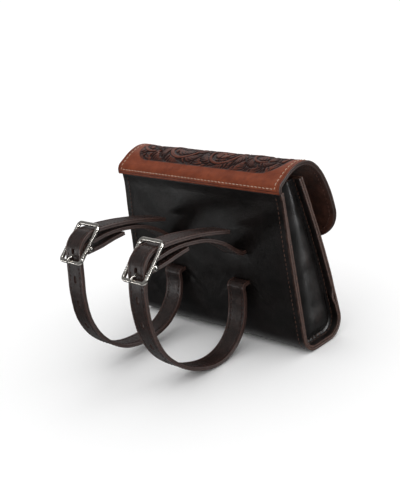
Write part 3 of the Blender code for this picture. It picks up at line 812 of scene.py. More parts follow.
def make_body():
    """The wrap: its skived head inside the flap's sewn edge, then the back, the bottom and the front."""
    path = evened(wrap_path(), 1.3)
    sewn = at(FLAP_PATH, np.linspace(0, FLAP_SEWN - 1, 12))
    left = left_of(sewn)
    head = (sewn + left * (FLAP_DEPTH + GAP))[::-1]
    head_inner = (sewn + left * (FLAP_DEPTH + GAP + SKIVED_T))[::-1]
    shares = np.linspace(-1, 1, 130)
    outer_path = np.vstack([head, [(head[-1][0], path[0][1])], path])
    s = walked(outer_path)
    inwards = np.vstack([head_inner - head, [head_inner[-1] - head[-1]], -left_of(path) * PANEL_T])
    x = np.outer(half_width(outer_path[:, 1]), shares)
    S = np.broadcast_to(s[:, None], x.shape)
    fade = np.clip((s - s[len(head)] - 2) / 6, 0, 1)[:, None]
    shift = panel_relief(x, outer_path, S) * fade
    into = unit(inwards)
    outer = bent(outer_path, into, x, shift)
    inner = outer.copy()
    inner[..., 1:] += inwards[:, None]
    wrap = slab("body_wrap_leather", outer, inner, np.stack([x, S], 2))
    cutters = [
        prism("slot", slot_outline(SLOT_W - 1, SLOT_H - 0.6), 14, facing((side, 0, z), (1, 0, 0), (0, 0, 1)))
        for side in (-STRAP_X, STRAP_X) for z in (SLOT_Z, -SLOT_Z)
    ]
    cut(wrap, cutters)
    dress(wrap, "black_leather", "brown_edge", "flesh")
    place_piece(wrap, "bag", "body_leather", "body_wrap")

    seams = []
    k = len(head) + 3
    for side in (-1, 1):
        wide = half_width(outer_path[k:, 1])
        share = (wide - WRAP_SEAM_INSET) * side / wide
        columns = (share + 1) / 2 * (len(shares) - 1)
        a = np.floor(columns).astype(int)
        b = (columns - a)[:, None]
        rows = np.arange(k, len(outer_path))
        line = outer[rows, a] * (1 - b) + outer[rows, a + 1] * b
        ups = np.column_stack([np.zeros(len(line)), -into[k:]])
        seams.append((line, ups))
        depth = PANEL_T + GAP + GUSSET_T
        hidden = line + np.column_stack([np.zeros(len(line)), into[k:] * depth])
        seams.append((hidden, -ups))
    thread = stitches("body_stitching", seams, 2.5, 3.3, 0.26)
    dress(thread, "brown_thread")
    place_piece(thread, "bag", "body_leather")


def make_gusset(side, sign):
    """An end wall: a flange sewn inside the wrap's edge, a tight turn, and a face that swells."""
    turn_r, swell, half, columns = 2.2, 5.2, 70, 24
    rim = evened(wrap_path(), 0.5)
    hidden = rim - left_of(rim) * (PANEL_T + 0.08)
    bottom = int(np.argmin(np.abs(rim[:, 1] - BOTTOM_Z) + 0.01 * np.abs(rim[:, 0] + 20.5)))
    back, front = evened(hidden[:bottom + 1], 0.5), evened(hidden[bottom:], 0.5)
    back, front = (at(path, np.linspace(0, walked(path)[-1], half)) for path in (back, front))
    line = np.vstack([back, front[1:]])
    inwards = -left_of(line)
    edge = half_width(line[:, 1])
    # Near the bottom of its front edge the flange has a small pleat
    from_mouth = walked(line) - walked(line)[-1]
    pleat = 1.9 * bump(from_mouth + 96, 4.5) - 0.8 * bump(from_mouth + 89, 4)
    loops = []
    for x_in in (0.1, 1.2, 2.4, 3.6, 4.4):
        loops.append((GUSSET_T + 0.02 + pleat * (1 - x_in / FLANGE_W), edge - x_in))
    for angle in np.radians((0, 22, 45, 68, 90)):
        loops.append((
            GUSSET_T + turn_r * (1 - math.cos(angle)) + 0 * edge,
            edge - FLANGE_W + turn_r * (1 - math.sin(angle)),
        ))
    rings = [np.column_stack([sign * x, line + inwards * np.reshape(d, (-1, 1))]) for d, x in loops]
    count = len(line)
    vertices = np.vstack(rings)
    faces = []
    for k in range(len(rings) - 1):
        a = k * count + np.arange(count - 1)
        faces += np.stack([a, a + count, a + count + 1, a + 1], 1).tolist()

    inner_line = rings[-1][:, 1:]
    f = np.linspace(0, 1, columns)[None, :, None]
    left_side, right_side = inner_line[:half], inner_line[half - 1:][::-1]
    face = left_side[:, None] * (1 - f) + right_side[:, None] * f
    arch = 3.2 * np.sin(np.pi * f[..., 0]) * np.clip(1 - np.arange(half) / 9, 0, 1)[:, None] ** 2
    face[..., 1] += arch
    away = np.linalg.norm(face[:, :, None] - inner_line[None, None, ::2], axis=3).min(2)
    uneven = 0.25 * waves(face[..., 0], face[..., 1], 21, 16)
    bulge = swell * (1 - np.exp(-((away / 5.0) ** 1.7)))
    x = half_width(face[..., 1]) - FLANGE_W + bulge + uneven * np.clip(away / 4, 0, 1)
    faces += grid_faces(half, columns, len(vertices))
    vertices = np.vstack([vertices, np.column_stack([sign * x.reshape(-1), face.reshape(-1, 2)])])
    if sign < 0:
        faces = [face[::-1] for face in faces]
    obj = make_object(f"gusset_{side}_leather", vertices, faces)
    work = bmesh.new()
    work.from_mesh(obj.data)
    bmesh.ops.remove_doubles(work, verts=work.verts, dist=0.01 * MM)
    bmesh.ops.dissolve_degenerate(work, edges=work.edges, dist=0.005 * MM)
    work.to_mesh(obj.data)
    work.free()
    places = np.array([v.co for v in obj.data.vertices]) / MM
    store(obj, "place", places / 10)
    store(obj, "edge", np.clip(half_width(places[:, 2]) - np.abs(places[:, 0]), 0, 20))
    thick = obj.modifiers.new("leather", "SOLIDIFY")
    thick.thickness = (GUSSET_T - 0.05) * MM
    thick.offset = -1
    thick.material_offset = 2
    thick.material_offset_rim = 1
    round_off = obj.modifiers.new("rounded_edge", "BEVEL")
    round_off.width = 0.35 * MM
    round_off.segments = 2
    round_off.limit_method = "ANGLE"
    round_off.angle_limit = math.radians(60)
    obj.data.shade_smooth()
    dress(obj, "black_leather", "brown_edge", "flesh")
    finalise(obj)
    place_piece(obj, "bag", "body_leather", f"gusset_{side}")


def place_piece(obj, body, slot, *nodes):
    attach(obj, body)
    if nodes:
        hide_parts(*nodes)


# ---------------- straps


class Upper:
    """Places in the upper part of one strap, turned about the upper slot."""

    def __init__(self, raised):
        self.raised = raised
        self.lean = BUCKLE_LEAN - raised
        self.up = np.array([-math.cos(self.lean), math.sin(self.lean)])
        self.out = np.array([math.sin(self.lean), math.cos(self.lean)])
        self.middle = self.place([BUCKLE_MIDDLE])[0]
        self.bar = self.in_buckle([(BAR_S, BAR_N)])[0]

    def turned(self, points):
        c, s = math.cos(self.raised), math.sin(self.raised)
        return np.asarray(points, float) @ np.array([[c, s], [-s, c]])

    def place(self, points):
        pivot = np.array([0, SLOT_Z])
        return pivot + self.turned(np.asarray(points, float) - pivot)

    def in_buckle(self, points):
        points = np.asarray(points, float)
        return self.middle + points[:, :1] * self.up + points[:, 1:] * self.out

    def near_bar(self, points):
        return self.bar + self.turned(points)

    def matrix(self, x):
        """Buckle frame to world: X across, Y along the buckle, Z out of it."""
        return facing((x, *self.middle), (-1, 0, 0), (0, *self.up))


def strap_route(strap):
    """The strip's middle line: round the bar, to the upper slot, out of the lower one and to its tail."""
    upper = Upper(strap["raised"])
    turn, lead, inside = 2.2, 3.0, 4.4
    points = np.vstack([
        upper.near_bar(TURNED_END),
        arc(upper.bar, BAR_R + GAP + STRAP_T / 2, -100, 80, 10),
        upper.near_bar(ANCHOR_FROM_BAR),
        upper.place(ANCHOR_TO_SLOT),
        [(2.2, SLOT_Z), (0.4, SLOT_Z)],
        arc((turn - inside, SLOT_Z - turn), turn, 90, 180, 5),
        arc((turn - inside, turn - SLOT_Z), turn, 180, 270, 5),
        [(0.4, -SLOT_Z)],
        arc((lead, -SLOT_Z - lead), lead, 90, 20, 4),
        strap["loop"],
        upper.in_buckle(THROUGH_BUCKLE),
        upper.place(TAIL),
    ])
    return smooth(points, 0.8)


def strap_columns():
    """Places across a strap, close together where the edge crease and the stitches lie."""
    edge = np.array([0, 0.35, 0.7, 1.0, 1.3, 1.6, 1.9, 2.2, 2.6, 3.0, 3.4, 3.9, 4.6, 5.4, 6.3, 7.1])
    half = STRAP_W / 2 - edge
    return np.concatenate([-half, [0], half[::-1]])


def strap_layers(name, x_middle, route, seed):
    """The strip is two leathers glued and sewn back to back, each with its grain side out."""
    columns = strap_columns()
    left = left_of(route)
    s = walked(route)
    x = np.broadcast_to(columns[None], (len(route), len(columns)))
    S = np.broadcast_to(s[:, None], x.shape)
    from_edge = STRAP_W / 2 - np.abs(x)
    wear = 0.10 * waves(x, S, seed, 26) + 0.05 * waves(x, S, seed + 1, 7)
    crease = 0.2 * bump(from_edge - STRAP_SEAM_INSET, 0.45) + 0.05 * bump(from_edge, 0.6)
    x_out = x + 0.18 * np.sign(x) * waves(0 * x, S, seed + 2, 30) * bump(from_edge, 5)
    layers = []
    for side, kind in ((-1, "outer"), (1, "inner")):
        depths = (side * (STRAP_T / 2 - crease + wear * side * 0.5), 0.04 * side + 0 * x)
        grids = [bent(route, left, x_middle + x_out, depth) for depth in depths]
        layers.append(slab(f"{name}_{kind}", *grids, np.stack([x, S], 2), bulge=0.16))
    return layers


def strap_cutters(x, route, upper):
    """The prong's hole, the spare holes and the gap for the prong where the strap turns round the bar."""
    prong_hole = nearest_distance(route, upper.in_buckle([(-9.2, 0)])[0])
    holes = [(prong_hole, PRONG_HOLE)]
    holes += [(prong_hole - HOLE_PITCH * i, HOLE_SIZE) for i in range(1, HOLE_COUNT + 1)]
    cutters = []
    for distance, (width, height) in holes:
        a, b = at(route, np.array([distance - 0.5, distance + 0.5]))
        matrix = facing((x, *(a + b) / 2), (1, 0, 0), (0, *(b - a)))
        cutters.append(prism("hole", slot_outline(width, height), 4 * STRAP_T, matrix))
    across = facing((x, *upper.bar), (0, 1, 0), (0, 0, 1))
    eye = arc((0, 0), BAR_R + STRAP_T + 1.0, 0, 350, 35)
    cutters.append(prism("eye_slot", eye, 3.0, across))
    return cutters


def strap_seams(x_middle, route, upper):
    """Stitch lines near both edges on both faces, left out where the strip folds round the bar."""
    left = left_of(route)
    s = walked(route)
    unsewn_r, shortest = 6, 12
    bar_far = np.linalg.norm(route - upper.bar, axis=1) > unsewn_r
    starts = np.flatnonzero(np.diff(np.concatenate([[0], bar_far, [0]])))
    seams = []
    for first, last in zip(starts[::2], starts[1::2]):
        if s[last - 1] - s[first] < shortest:
            continue
        rows = slice(first + 2, last - 2)
        for x in (-STRAP_W / 2 + STRAP_SEAM_INSET, STRAP_W / 2 - STRAP_SEAM_INSET):
            for side in (-1, 1):
                depth = side * (STRAP_T / 2 - 0.14)
                on_face = (route + left * depth)[rows]
                line = np.column_stack([np.full(len(on_face), x_middle + x), on_face])
                ups = np.column_stack([np.zeros(len(line)), left[rows] * side])
                seams.append((line, ups))
    return seams


def make_strap(side, strap):
    """One long strip in two layers, with its holes and its sewing."""
    upper = Upper(strap["raised"])
    route = strap_route(strap)
    seed = 40 if side == "left" else 50
    for layer in strap_layers(f"strap_{side}", strap["x"], route, seed):
        cut(layer, strap_cutters(strap["x"], route, upper))
        shade(layer, 55)
        dress(layer, "strap_leather", "strap_edge", "flesh")
        place_piece(layer, "bag", "strap_leather", f"strap_{side}")
    thread = stitches(f"strap_{side}_stitching", strap_seams(strap["x"], route, upper), 2.3, 3.1, 0.24)
    dress(thread, "dark_thread")
    place_piece(thread, "bag", "strap_leather")


# ---------------- buckles


def buckle_outline():
    """The middle line of the frame's wire, evenly spaced and without its end repeated."""
    half_w, corner = BUCKLE_W / 2 - WIRE_R, 2.4
    points = []
    for sx, sy, start in ((1, -1, -90), (1, 1, 0), (-1, 1, 90), (-1, -1, 180)):
        centre = (sx * (half_w - corner), sy * (BAR_SPACING - corner))
        points.append(arc(centre, corner, start, start + 90, 9))
    points = np.vstack(points)
    return evened(np.vstack([points, points[:1]]), 0.28)[:-1]


def make_frame(side, matrix):
    """A cast rectangle of half-round section, its long rails cut with slanting beads."""
    outline = buckle_outline()
    along = unit(np.roll(outline, -1, 0) - np.roll(outline, 1, 0))
    outwards = np.column_stack([along[:, 1], -along[:, 0]])
    sides = 28
    angles = round_angles(sides)
    on_rail = np.clip((BAR_SPACING - 3.4 - np.abs(outline[:, 1])) / 1.2, 0, 1)
    on_rail = on_rail * (np.abs(outline[:, 0]) > BUCKLE_W / 2 - WIRE_R - 0.5)
    section = 1 / np.maximum(np.abs(np.cos(angles)) ** 3 + np.abs(np.sin(angles)) ** 3, 1e-6) ** (1 / 3)
    bead_pitch, slant, bead_height = 1.7, 1.2, 0.14
    rope = np.cos(math.tau * outline[:, 1:] / bead_pitch + slant * angles[None])
    upper_face = np.clip(np.sin(angles) * 1.2 + 0.9, 0, 1)[None]
    beads = 0.88 + bead_height * on_rail[:, None] * upper_face * rope
    radius = (WIRE_R - 0.12) * section[None] * beads
    rings = np.zeros((len(outline), sides, 3))
    rings[..., :2] = outline[:, None] + outwards[:, None] * (radius * np.cos(angles))[..., None]
    rings[..., 2] = radius * np.sin(angles)
    parts = [ring_stack("ring", rings, closed=True)]
    for sign in (-1, 1):
        lug = facing((sign * (BUCKLE_W / 2 - LUG_W / 2), BAR_S, BAR_N), (0, 1, 0), (0, 0, 1))
        bore, w, softened = BAR_R + 0.25, LUG_W / 2, 0.35
        profile = [(bore, -w), (LUG_R - softened, -w), (LUG_R, -w + softened), (LUG_R, w - softened),
                   (LUG_R - softened, w), (bore, w)]
        parts.append(lathe("lug", profile, lug, 32))
    return moved(joined_pieces(parts, f"buckle_frame_{side}_metal"), matrix)


def joined_pieces(parts, name):
    """One object from several meshes, which keep their own surfaces."""
    work = bmesh.new()
    for part in parts:
        work.from_mesh(part.data)
    kept = parts[0]
    for part in parts[1:]:
        bpy.data.objects.remove(part, do_unlink=True)
    work.to_mesh(kept.data)
    work.free()
    kept.name = name
    shade(kept, 50)
    return kept


def moved(obj, matrix):
    """Takes a mesh made in a buckle's own frame, in mm, to its place."""
    points = np.empty(len(obj.data.vertices) * 3, np.float32)
    obj.data.vertices.foreach_get("co", points)
    turned = points.reshape(-1, 3) @ np.array(matrix.to_3x3()).T + np.array(matrix.translation) * MM
    obj.data.vertices.foreach_set("co", turned.astype(np.float32).reshape(-1))
    obj.data.update()
    return obj


def make_bar(side, matrix):
    """The centre bar, whose rounded ends just show outside the lugs."""
    half = BAR_LENGTH / 2
    turn = facing((0, BAR_S, BAR_N), (0, 1, 0), (0, 0, 1))
    profile = [(0, -half), (0.6, -half + 0.05), (1.05, -half + 0.3), (BAR_R, -half + 0.75)]
    profile += [(r, -z) for r, z in profile[::-1]]
    return moved(lathe(f"buckle_bar_{side}_steel", profile, turn, 32), matrix)


def make_prong(side, matrix):
    """A wire with its end bent round the bar and a tapered tip over the end rail."""
    eye_r = BAR_R + GAP / 2 + PRONG_R
    centre = np.array([BAR_S, BAR_N])
    eye = arc(centre, eye_r, -175, 158, 44)
    start = centre + eye_r * np.array([-0.93, 0.37])
    shank = smooth(np.vstack([[start], PRONG_ROUTE]), 0.35)
    share = walked(shank) / walked(shank)[-1]
    radii = PRONG_R * (1 - 0.18 * np.clip((share - 0.55) / 0.45, 0, 1))
    radii[-3:] *= (0.93, 0.78, 0.45)
    shank = np.column_stack([np.zeros(len(shank)), shank])
    eye = np.column_stack([np.zeros(len(eye)), eye])
    wire_eye = sweep("eye", eye, PRONG_R, 20)
    wire_shank = sweep("shank", shank, radii, 24)
    return moved(joined_pieces([wire_shank, wire_eye], f"prong_{side}_steel"), matrix)


def make_buckle(side, strap):
    matrix = Upper(strap["raised"]).matrix(strap["x"])
    for make, body, slot, node in (
        (make_frame, "buckle", "nickel", "buckle_frame"),
        (make_bar, "buckle", "steel", "buckle_bar"),
        (make_prong, "prong", "nickel", "prong"),
    ):
        piece = make(side, matrix)
        dress(piece, slot)
        place_piece(piece, f"{body}_{side}", slot, f"{node}_{side}")


# ---------------- snap fastener


SNAP_CAP = [(6.0, 0.32), (6.2, 0.5), (6.05, 0.85), (5.4, 1.2), (4.6, 1.6), (3.6, 1.95), (2.4, 2.18),
            (1.2, 2.28), (0, 2.3)]
SNAP_SOCKET = [(1.75, -0.3), (5.0, -0.3), (5.2, -0.5), (5.2, -1.1), (5.0, -1.5), (4.45, -1.9), (4.3, -2.8),
               (4.0, -3.15), (3.4, -3.2), (2.6, -3.1), (2.4, -2.8), (2.4, -1.6), (1.75, -1.6)]
SNAP_STUD = [(1.75, 0.3), (4.2, 0.3), (4.4, 0.45), (4.3, 0.7), (3.0, 0.85), (2.1, 0.95), (2.0, 1.1),
             (2.1, 1.3), (1.95, 1.4), (1.75, 1.4)]
SNAP_POST = [(0, 1.2), (1.3, 1.2), (POST_R, 1.0), (POST_R, -2.1), (4.1, -2.1), (4.4, -2.3), (4.3, -2.7),
             (3.9, -2.9), (0, -2.9)]


def frame_of(node, path, sign):
    """A snap piece's place: where the frame has it, facing out of the leather along the path."""
    lo, hi = (np.array(corner)[1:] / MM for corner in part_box(node))
    k = int(np.argmin(np.linalg.norm(path - (lo + hi) / 2, axis=1)))
    return facing((0, *path[k]), (1, 0, 0), (0, *unit((path[k + 1] - path[k - 1]) * sign)))


def make_snap():
    flap = frame_of("snap_cap", FLAP_PATH, -1)
    inside = FLAP_PATH + left_of(FLAP_PATH) * FLAP_DEPTH
    front = evened(wrap_path(), 0.25)
    front = front[front[:, 0] < FRONT_FOOT_Y + 24]
    panel = frame_of("snap_stud", front, 1)
    for name, profile, place, body in (
        ("snap_cap", SNAP_CAP, flap, "flap"),
        ("snap_socket", SNAP_SOCKET, frame_of("snap_socket", inside, -1), "flap"),
        ("snap_stud", SNAP_STUD, panel, "bag"),
        ("snap_post", SNAP_POST, panel, "bag"),
    ):
        piece = lathe(f"{name}_metal", profile, place)
        dress(piece, "nickel")
        place_piece(piece, body, "nickel", name)


# ---------------- materials


class Nodes:
    """Builds one material's node tree in plain steps."""

    def __init__(self, name, **sockets):
        self.material = bpy.data.materials.new(name)
        self.material.use_nodes = True
        self.tree = self.material.node_tree
        self.shader = self.tree.nodes["Principled BSDF"]
        for key, value in sockets.items():
            self.shader.inputs[key.replace("_", " ").title().replace("Ior", "IOR")].default_value = value

    def node(self, kind, **settings):
        made = self.tree.nodes.new(kind)
        for key, value in settings.items():
            setattr(made, key, value)
        return made

    def link(self, value, socket):
        if isinstance(value, (int, float)):
            socket.default_value = value
        elif isinstance(value, tuple):
            socket.default_value = (*value, 1) if len(value) == 3 and socket.type == "RGBA" else value
        else:
            self.tree.links.new(value, socket)

    def attribute(self, name, output="Fac"):
        return self.node("ShaderNodeAttribute", attribute_name=name).outputs[output]

    def place(self, stretch=(1, 1, 1)):
        mapping = self.node("ShaderNodeMapping")
        self.link(self.attribute("place", "Vector"), mapping.inputs["Vector"])
        mapping.inputs["Scale"].default_value = stretch
        return mapping.outputs["Vector"]

    def noise(self, scale, detail=3.0, stretch=(1, 1, 1), roughness=0.55, distortion=0.0):
        noise = self.node("ShaderNodeTexNoise")
        self.link(self.place(stretch), noise.inputs["Vector"])
        for key, value in (("Scale", scale), ("Detail", detail), ("Roughness", roughness),
                           ("Distortion", distortion)):
            noise.inputs[key].default_value = value
        return noise.outputs["Fac"]

    def cells(self, scale, feature="DISTANCE_TO_EDGE", stretch=(1, 1, 1)):
        cells = self.node("ShaderNodeTexVoronoi", feature=feature)
        self.link(self.place(stretch), cells.inputs["Vector"])
        cells.inputs["Scale"].default_value = scale
        return cells.outputs["Distance"]

    def sum(self, a, b, operation="ADD", clamp=False):
        made = self.node("ShaderNodeMath", operation=operation, use_clamp=clamp)
        self.link(a, made.inputs[0])
        self.link(b, made.inputs[1])
        return made.outputs[0]

    def product(self, a, b):
        return self.sum(a, b, "MULTIPLY")

    def between(self, value, low, high, start=0.0, end=1.0):
        made = self.node("ShaderNodeMapRange", interpolation_type="SMOOTHSTEP")
        keys = ("Value", "From Min", "From Max", "To Min", "To Max")
        for key, item in zip(keys, (value, low, high, start, end)):
            self.link(item, made.inputs[key])
        return made.outputs["Result"]

    def mix(self, factor, a, b):
        made = self.node("ShaderNodeMix", data_type="RGBA")
        self.link(factor, made.inputs["Factor"])
        self.link(a, made.inputs[6])
        self.link(b, made.inputs[7])
        return made.outputs[2]

    def bump(self, height, distance, strength=1.0, over=None):
        made = self.node("ShaderNodeBump")
        self.link(height, made.inputs["Height"])
        made.inputs["Distance"].default_value = distance * MM
        made.inputs["Strength"].default_value = strength
        if over is not None:
            self.link(over, made.inputs["Normal"])
        return made.outputs["Normal"]

    def finish(self, color, roughness, normal=None):
        self.link(color, self.shader.inputs["Base Color"])
        self.link(roughness, self.shader.inputs["Roughness"])
        if normal is not None:
            self.link(normal, self.shader.inputs["Normal"])
        return self.material


def srgb(r, g, b):
    """A linear colour from 8-bit sRGB values."""
    return tuple(((v / 255 + 0.055) / 1.055) ** 2.4 if v > 10 else v / 3295 for v in (r, g, b))


def grain(n, scale, crack=0.0):
    """Leather grain: fine pebbles, pores and, on worn leather, long cracks. Returns 0 to 1."""
    pebbles = n.between(n.cells(scale), 0.0, 0.35)
    pores = n.between(n.noise(scale * 2.3, 2.0), 0.35, 0.7)
    height = n.sum(n.product(pebbles, 0.6), n.product(pores, 0.4))
    if crack:
        lines = n.between(n.cells(scale * 0.33, stretch=(1, 0.45, 1)), 0.0, 0.12)
        height = n.sum(height, n.product(lines, crack))
    return height


def black_leather():
    n = Nodes("black_leather", specular_ior_level=0.45, coat_weight=0.1, coat_roughness=0.3)
    mottled = n.noise(0.55, 4.0)
    deep = n.mix(n.between(mottled, 0.35, 0.68), srgb(11, 9, 8), srgb(20, 15, 14))
    worn = n.product(n.between(n.attribute("edge"), 0.2, 2.2, 1.0, 0.0), n.between(n.noise(3.0), 0.3, 0.7))
    color = n.mix(n.product(worn, 0.75), deep, srgb(74, 48, 38))
    roughness = n.between(n.noise(1.1, 5.0), 0.25, 0.75, 0.33, 0.46)
    normal = n.bump(grain(n, 11), 0.10, 0.5)
    normal = n.bump(n.noise(1.6, 3.0), 0.5, 0.35, normal)
    return n.finish(color, roughness, normal)


def burnished(name, dark, light, roughness):
    """A cut edge: fibres rubbed smooth, in streaks that run along the edge."""
    n = Nodes(name, specular_ior_level=0.45)
    streaks = n.noise(9, 4.0, (1, 0.35, 3))
    color = n.mix(n.between(streaks, 0.3, 0.7), dark, light)
    return n.finish(color, roughness, n.bump(streaks, 0.12, 0.6))


def tooled():
    n = Nodes("tooled", specular_ior_level=0.22, coat_weight=0.06, coat_roughness=0.25)
    stain = n.attribute("stain")
    uneven = n.noise(0.8, 4.0)
    cognac = n.mix(n.between(uneven, 0.3, 0.7), srgb(110, 50, 29), srgb(134, 65, 38))
    blotch = n.between(n.noise(2.8, 5.0), 0.45, 0.75)
    cognac = n.mix(n.product(blotch, 0.35), cognac, srgb(92, 36, 20))
    settled = n.sum(stain, n.product(n.noise(5.5, 4.0), 0.2), clamp=True)
    color = n.mix(n.between(settled, 0.04, 0.7), cognac, srgb(30, 12, 9))
    edge = n.between(n.attribute("edge"), 0.0, 1.0, 0.55, 0.0)
    color = n.mix(edge, color, srgb(60, 27, 18))
    roughness = n.between(n.noise(2.2, 4.0), 0.3, 0.7, 0.3, 0.42)
    normal = n.bump(grain(n, 14), 0.06, 0.45)
    normal = n.bump(n.noise(2.4, 3.0), 0.25, 0.3, normal)
    return n.finish(color, roughness, normal)


def lining():
    n = Nodes("lining", specular_ior_level=0.4, coat_weight=0.08, coat_roughness=0.4)
    color = n.mix(n.between(n.noise(1.3, 5.0), 0.3, 0.7), srgb(50, 29, 22), srgb(78, 47, 36))
    pits = n.between(n.cells(7, "F1"), 0.05, 0.22)
    color = n.mix(pits, srgb(34, 20, 16), color)
    normal = n.bump(n.sum(grain(n, 9), n.product(pits, 0.5)), 0.14, 0.6)
    return n.finish(color, n.between(n.noise(3), 0.3, 0.7, 0.42, 0.58), normal)


def strap_leather():
    n = Nodes("strap_leather", specular_ior_level=0.5, coat_weight=0.22, coat_roughness=0.26)
    color = n.mix(n.between(n.noise(1.7, 5.0), 0.3, 0.72), srgb(27, 18, 16), srgb(48, 33, 29))
    cracks = n.between(n.noise(5.0, 4.0, (1.6, 0.8, 1), 0.6, 1.2), 0.44, 0.60)
    color = n.mix(n.product(cracks, 0.45), color, srgb(26, 17, 15))
    worn = n.between(n.attribute("edge"), 0.1, 1.3, 0.7, 0.0)
    color = n.mix(worn, color, srgb(88, 56, 46))
    roughness = n.between(n.noise(4, 4.0), 0.3, 0.7, 0.3, 0.5)
    normal = n.bump(grain(n, 9, 0.5), 0.13, 0.6)
    normal = n.bump(n.noise(2.5, 4.0, (1.4, 1, 1), 0.6, 0.8), 0.6, 0.5, normal)
    return n.finish(color, roughness, normal)


def flesh():
    n = Nodes("flesh", specular_ior_level=0.25)
    nap = n.noise(14, 5.0)
    color = n.mix(n.between(nap, 0.3, 0.7), srgb(44, 32, 27), srgb(70, 52, 43))
    return n.finish(color, 0.85, n.bump(nap, 0.2, 0.8))


def thread(name, dark, light):
    n = Nodes(name, specular_ior_level=0.35)
    strand = n.between(n.attribute("strand"), 0, 1)
    color = n.mix(n.product(strand, n.product(n.noise(8, 2), 0.4)), dark, light)
    twist = n.node("ShaderNodeTexWave", bands_direction="DIAGONAL")
    n.link(n.place(), twist.inputs["Vector"])
    twist.inputs["Scale"].default_value = 16
    return n.finish(color, 0.62, n.bump(twist.outputs["Fac"], 0.08, 0.7))


def metal(name, color, dull, low, high):
    n = Nodes(name, metallic=1.0, specular_ior_level=0.5)
    rubbed = n.noise(4, 6.0)
    tint = n.mix(n.between(rubbed, 0.52, 0.8), color, dull)
    roughness = n.between(n.noise(9, 5.0), 0.3, 0.7, low, high)
    normal = n.bump(n.noise(26, 3.0), 0.02, 0.5)
    return n.finish(tint, roughness, n.bump(n.noise(3, 3.0), 0.08, 0.4, normal))


MATERIALS = {
    "black_leather": black_leather(),
    "brown_edge": burnished("brown_edge", srgb(40, 26, 21), srgb(92, 62, 50), 0.5),
    "tooled": tooled(),
    "dark_edge": burnished("dark_edge", srgb(34, 19, 15), srgb(66, 38, 28), 0.5),
    "lining": lining(),
    "strap_leather": strap_leather(),
    "strap_edge": burnished("strap_edge", srgb(38, 26, 23), srgb(74, 50, 43), 0.55),
    "flesh": flesh(),
    "pale_thread": thread("pale_thread", srgb(176, 146, 124), srgb(226, 204, 186)),
    "brown_thread": thread("brown_thread", srgb(78, 52, 42), srgb(122, 88, 72)),
    "dark_thread": thread("dark_thread", srgb(58, 34, 28), srgb(92, 58, 48)),
    "nickel": metal("nickel", srgb(234, 230, 223), srgb(190, 184, 175), 0.1, 0.2),
    "steel": metal("steel", srgb(198, 196, 192), srgb(140, 136, 130), 0.2, 0.36),
}


def dress(obj, *names):
    """Gives the object's material slots these materials, in order."""
    while len(obj.data.materials) < len(names):
        obj.data.materials.append(None)
    for k, name in enumerate(names):
        obj.data.materials[k] = MATERIALS[name]
    if "place" not in obj.data.attributes:
        points = np.empty(len(obj.data.vertices) * 3, np.float32)
        obj.data.vertices.foreach_get("co", points)
        store(obj, "place", points.reshape(-1, 3) / MM / 10)


make_flap()
make_body()
for side, sign in (("left", -1), ("right", 1)):
    make_gusset(side, sign)
    make_strap(side, STRAPS[side])
    make_buckle(side, STRAPS[side])
make_snap()


# ---------------- floor, light and camera


def staged(name, material, create, **shape):
    """A stage piece that bmesh makes, with its material."""
    mesh = bpy.data.meshes.new(name)
    work = bmesh.new()
    create(work, **shape)
    work.to_mesh(mesh)
    work.free()
    mesh.materials.append(material)
    obj = added(name, mesh)
    return obj


def make_floor():
    """White paper just under the bag's lowest point, which the gloss doesn't see."""
    low = min((obj.matrix_world @ Vector(corner)).z for obj in bpy.data.objects
              if obj.type == "MESH" for corner in obj.bound_box)
    paper = Nodes("floor_paper", specular_ior_level=0.1).finish(srgb(248, 248, 248), 0.9)
    floor = staged("floor", paper, bmesh.ops.create_grid, x_segments=2, y_segments=2, size=30)
    floor.location.z = low - 0.2 * MM
    floor.visible_glossy = False


def make_backdrop():
    """A white dome far outside the lights, which only the camera sees."""
    n = Nodes("backdrop_white", emission_strength=1.0)
    n.shader.inputs["Emission Color"].default_value = (1, 1, 1, 1)
    white = n.finish((0.0, 0.0, 0.0), 1.0)
    dome = staged("backdrop", white, bmesh.ops.create_icosphere, subdivisions=4, radius=25)
    for ray in ("diffuse", "glossy", "transmission", "volume_scatter", "shadow"):
        setattr(dome, f"visible_{ray}", False)


def make_light(name, place, size, power, target=(0, 0, 0)):
    """A soft box that faces the bag from this place, in metres. It lights gloss only."""
    light = bpy.data.lights.new(name, "AREA")
    light.shape = "RECTANGLE"
    light.size, light.size_y = size
    light.energy = power
    obj = added(name, light)
    obj.location = place
    obj.rotation_euler = (Vector(target) - Vector(place)).to_track_quat("-Z", "Y").to_euler()
    obj.visible_diffuse = False
    obj.visible_camera = False


def make_sun():
    """A very wide sun lights the whole floor evenly and leaves only a faint soft shadow."""
    sun = bpy.data.lights.new("sky_panel", "SUN")
    sun.energy = 3.2
    sun.angle = math.radians(150)
    obj = added("sky_panel", sun)
    obj.rotation_euler = (math.radians(8), math.radians(-6), 0)
    obj.visible_glossy = False


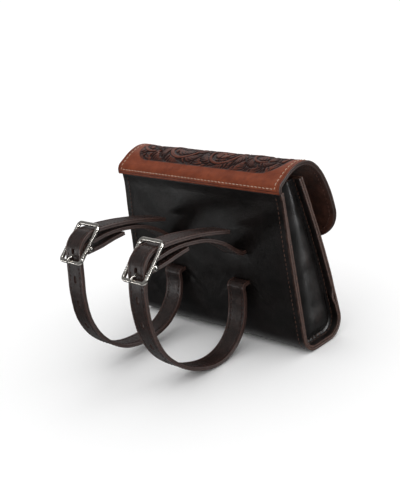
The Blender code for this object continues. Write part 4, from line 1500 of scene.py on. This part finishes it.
# The studio's brightness against height: 0 is straight down, 0.5 the horizon and 1 straight up
STUDIO = [(0.0, 0.45), (0.14, 0.25), (0.25, 0.02), (0.36, 0.01), (0.46, 0.18), (0.55, 0.2), (1.0, 0.14)]


def make_world():
    """Soft grey above the horizon and a dark band below it, which show in the gloss of the leather."""
    world = bpy.data.worlds.new("studio")
    world.use_nodes = True
    tree = world.node_tree
    place = tree.nodes.new("ShaderNodeTexCoord")
    parts = tree.nodes.new("ShaderNodeSeparateXYZ")
    rise = tree.nodes.new("ShaderNodeMapRange")
    ramp = tree.nodes.new("ShaderNodeValToRGB")
    tree.links.new(place.outputs["Generated"], parts.inputs[0])
    tree.links.new(parts.outputs["Z"], rise.inputs["Value"])
    rise.inputs["From Min"].default_value = -1
    tree.links.new(rise.outputs["Result"], ramp.inputs["Fac"])
    stops = ramp.color_ramp.elements
    while len(stops) < len(STUDIO):
        stops.new(1)
    for stop, (place_up, level) in zip(stops, STUDIO):
        stop.position = place_up
        stop.color = (level, level, level, 1)
    tree.links.new(ramp.outputs["Color"], tree.nodes["Background"].inputs["Color"])
    bpy.context.scene.world = world


def make_camera():
    """The photo's view, recovered from the corners of the back panel."""
    camera = bpy.data.cameras.new("camera")
    camera.lens = 68.4
    camera.clip_start = 0.01
    obj = added("camera", camera)
    right = Vector((-0.7086, -0.6907, -0.1439))
    up = Vector((0.1453, -0.3424, 0.9282))
    back = right.cross(up).normalized()
    right = up.cross(back).normalized()
    rotation = Matrix((right, back.cross(right), back)).transposed().to_4x4()
    obj.matrix_world = Matrix.Translation((-0.4850, 0.4527, 0.2501)) @ rotation
    bpy.context.scene.camera = obj
    bpy.context.scene.view_settings.view_transform = "Standard"


make_floor()
make_sun()
make_backdrop()
make_light("behind", (0.95, -0.9, 0.75), (0.9, 0.5), 1.0)
make_light("beside", (-1.3, -0.5, 0.35), (0.35, 1.0), 18)
make_light("above", (-0.1, 0.5, 1.2), (0.8, 0.5), 4)
make_light("low_card", (0.3, 0.34, 0.0), (0.16, 0.06), 0.14, (0.06, 0, 0.05))
make_world()
make_camera()
